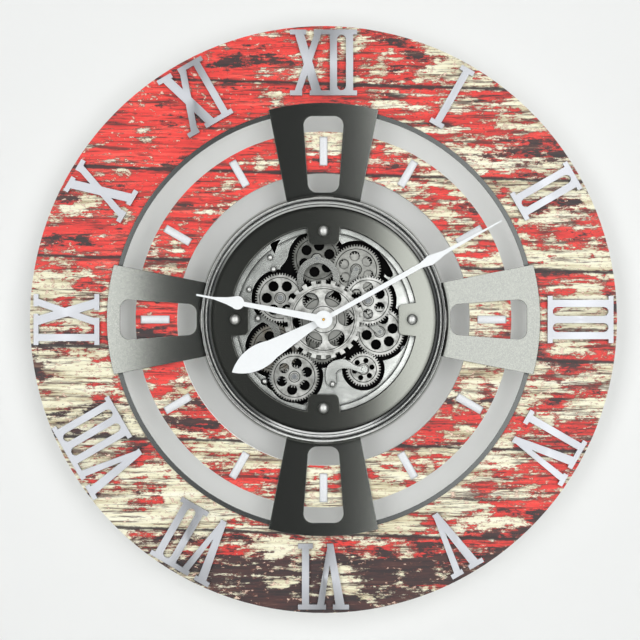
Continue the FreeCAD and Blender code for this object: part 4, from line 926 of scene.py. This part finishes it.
def stage_plane(name, corners, material):
    """A large plain face that is not part of the clock."""
    mesh = bpy.data.meshes.new(name)
    mesh.from_pydata(corners, [], [(0, 1, 2, 3)])
    mesh.materials.append(material)
    new_object(name, mesh)


def one_sided(material, tree, surface):
    """Let the view and lamp light through where a face is seen from behind."""
    clear = add_node(tree, "ShaderNodeBsdfTransparent")
    side = add_node(tree, "ShaderNodeNewGeometry")
    light = add_node(tree, "ShaderNodeLightPath")
    through = maths(tree, "MAXIMUM", side.outputs["Backfacing"], light.outputs["Is Shadow Ray"])
    blend = add_node(tree, "ShaderNodeMixShader", {"Fac": through})
    tree.links.new(surface.outputs[0], blend.inputs[1])
    tree.links.new(clear.outputs[0], blend.inputs[2])
    tree.links.new(blend.outputs[0], tree.nodes["Material Output"].inputs["Surface"])
    return material


square = [(-REACH, -REACH), (REACH, -REACH), (REACH, REACH), (-REACH, REACH)]
wall_paint = one_sided(*new_material("matt wall paint", "E6E7E6", 0.0, 0.9))
stage_plane("wall", [(x, WALL_GAP, z) for x, z in square], wall_paint)
floor_paint = new_material("matt pale floor", "D6D7D5", 0.0, 0.8)[0]
stage_plane("floor", [(x, y, FLOOR_LEVEL) for x, y in square], floor_paint)
print("wall and floor set")

# %% [markdown]
# Two tall softboxes stand beside the camera, so that metal at the dial's left and right mirrors them, and
# metal above and below the middle mirrors the dark room between them. The right one reaches further in,
# which lights the right side of the dish. A weak one above lights the upper edges, and one behind the
# wall shows the back.

# %% Lamps
# name, place, target, width, height, watts
LAMPS = [
    ("left softbox", (-0.88, -2.0, 0.1), (-0.1, 0, 0), 0.95, 2.4, 24),
    ("right softbox", (0.75, -2.0, 0.1), (0.1, 0, 0), 1.25, 2.4, 29),
    ("top softbox", (0.0, -1.0, 1.7), (0, 0, 0), 1.8, 0.6, 5),
    ("rear softbox", (0.9, 1.9, 0.8), (0, 0, 0), 1.4, 1.4, 34),
]
ROOM_LIGHT = 0.12


def lamp(name, place, target, width, height, watts):
    """A rectangular lamp that points at its target."""
    data = bpy.data.lights.new(name, "AREA")
    data.shape = "RECTANGLE"
    data.size = width
    data.size_y = height
    data.energy = watts
    thing = new_object(name, data)
    thing.location = place
    thing.rotation_euler = (Vector(target) - Vector(place)).to_track_quat("-Z", "Y").to_euler()


for row in LAMPS:
    lamp(*row)
world = bpy.data.worlds.new("studio")
world.use_nodes = True
background = world.node_tree.nodes["Background"]
background.inputs["Color"].default_value = hex_colour("E6EAEC")
background.inputs["Strength"].default_value = ROOM_LIGHT
bpy.context.scene.world = world
bpy.context.scene.view_settings.view_transform = "Standard"
print(len(LAMPS), "lamps")

# %% [markdown]
# The camera stands straight in front. The dial fills 587 of the picture's 640 pixels, and its middle lies
# 3.5 pixels right of the picture's middle, so the camera stands that much to the left and a little low.

# %% Camera
DISTANCE = 1.6
FRAME_PIXELS = 640
PIXEL = 600 * MM / 587
FRONT_OF_BOARD = 0.038
SENSOR_MM = 36

camera_data = bpy.data.cameras.new("camera")
camera_data.sensor_width = SENSOR_MM
camera_data.lens = SENSOR_MM * (DISTANCE - FRONT_OF_BOARD) / (FRAME_PIXELS * PIXEL)
camera = new_object("camera", camera_data)
camera.location = (-3.5 * PIXEL, -DISTANCE, -0.5 * PIXEL)
camera.rotation_euler = (math.radians(90), 0, 0)
bpy.context.scene.camera = camera
print("lens", round(camera_data.lens, 1), "mm")
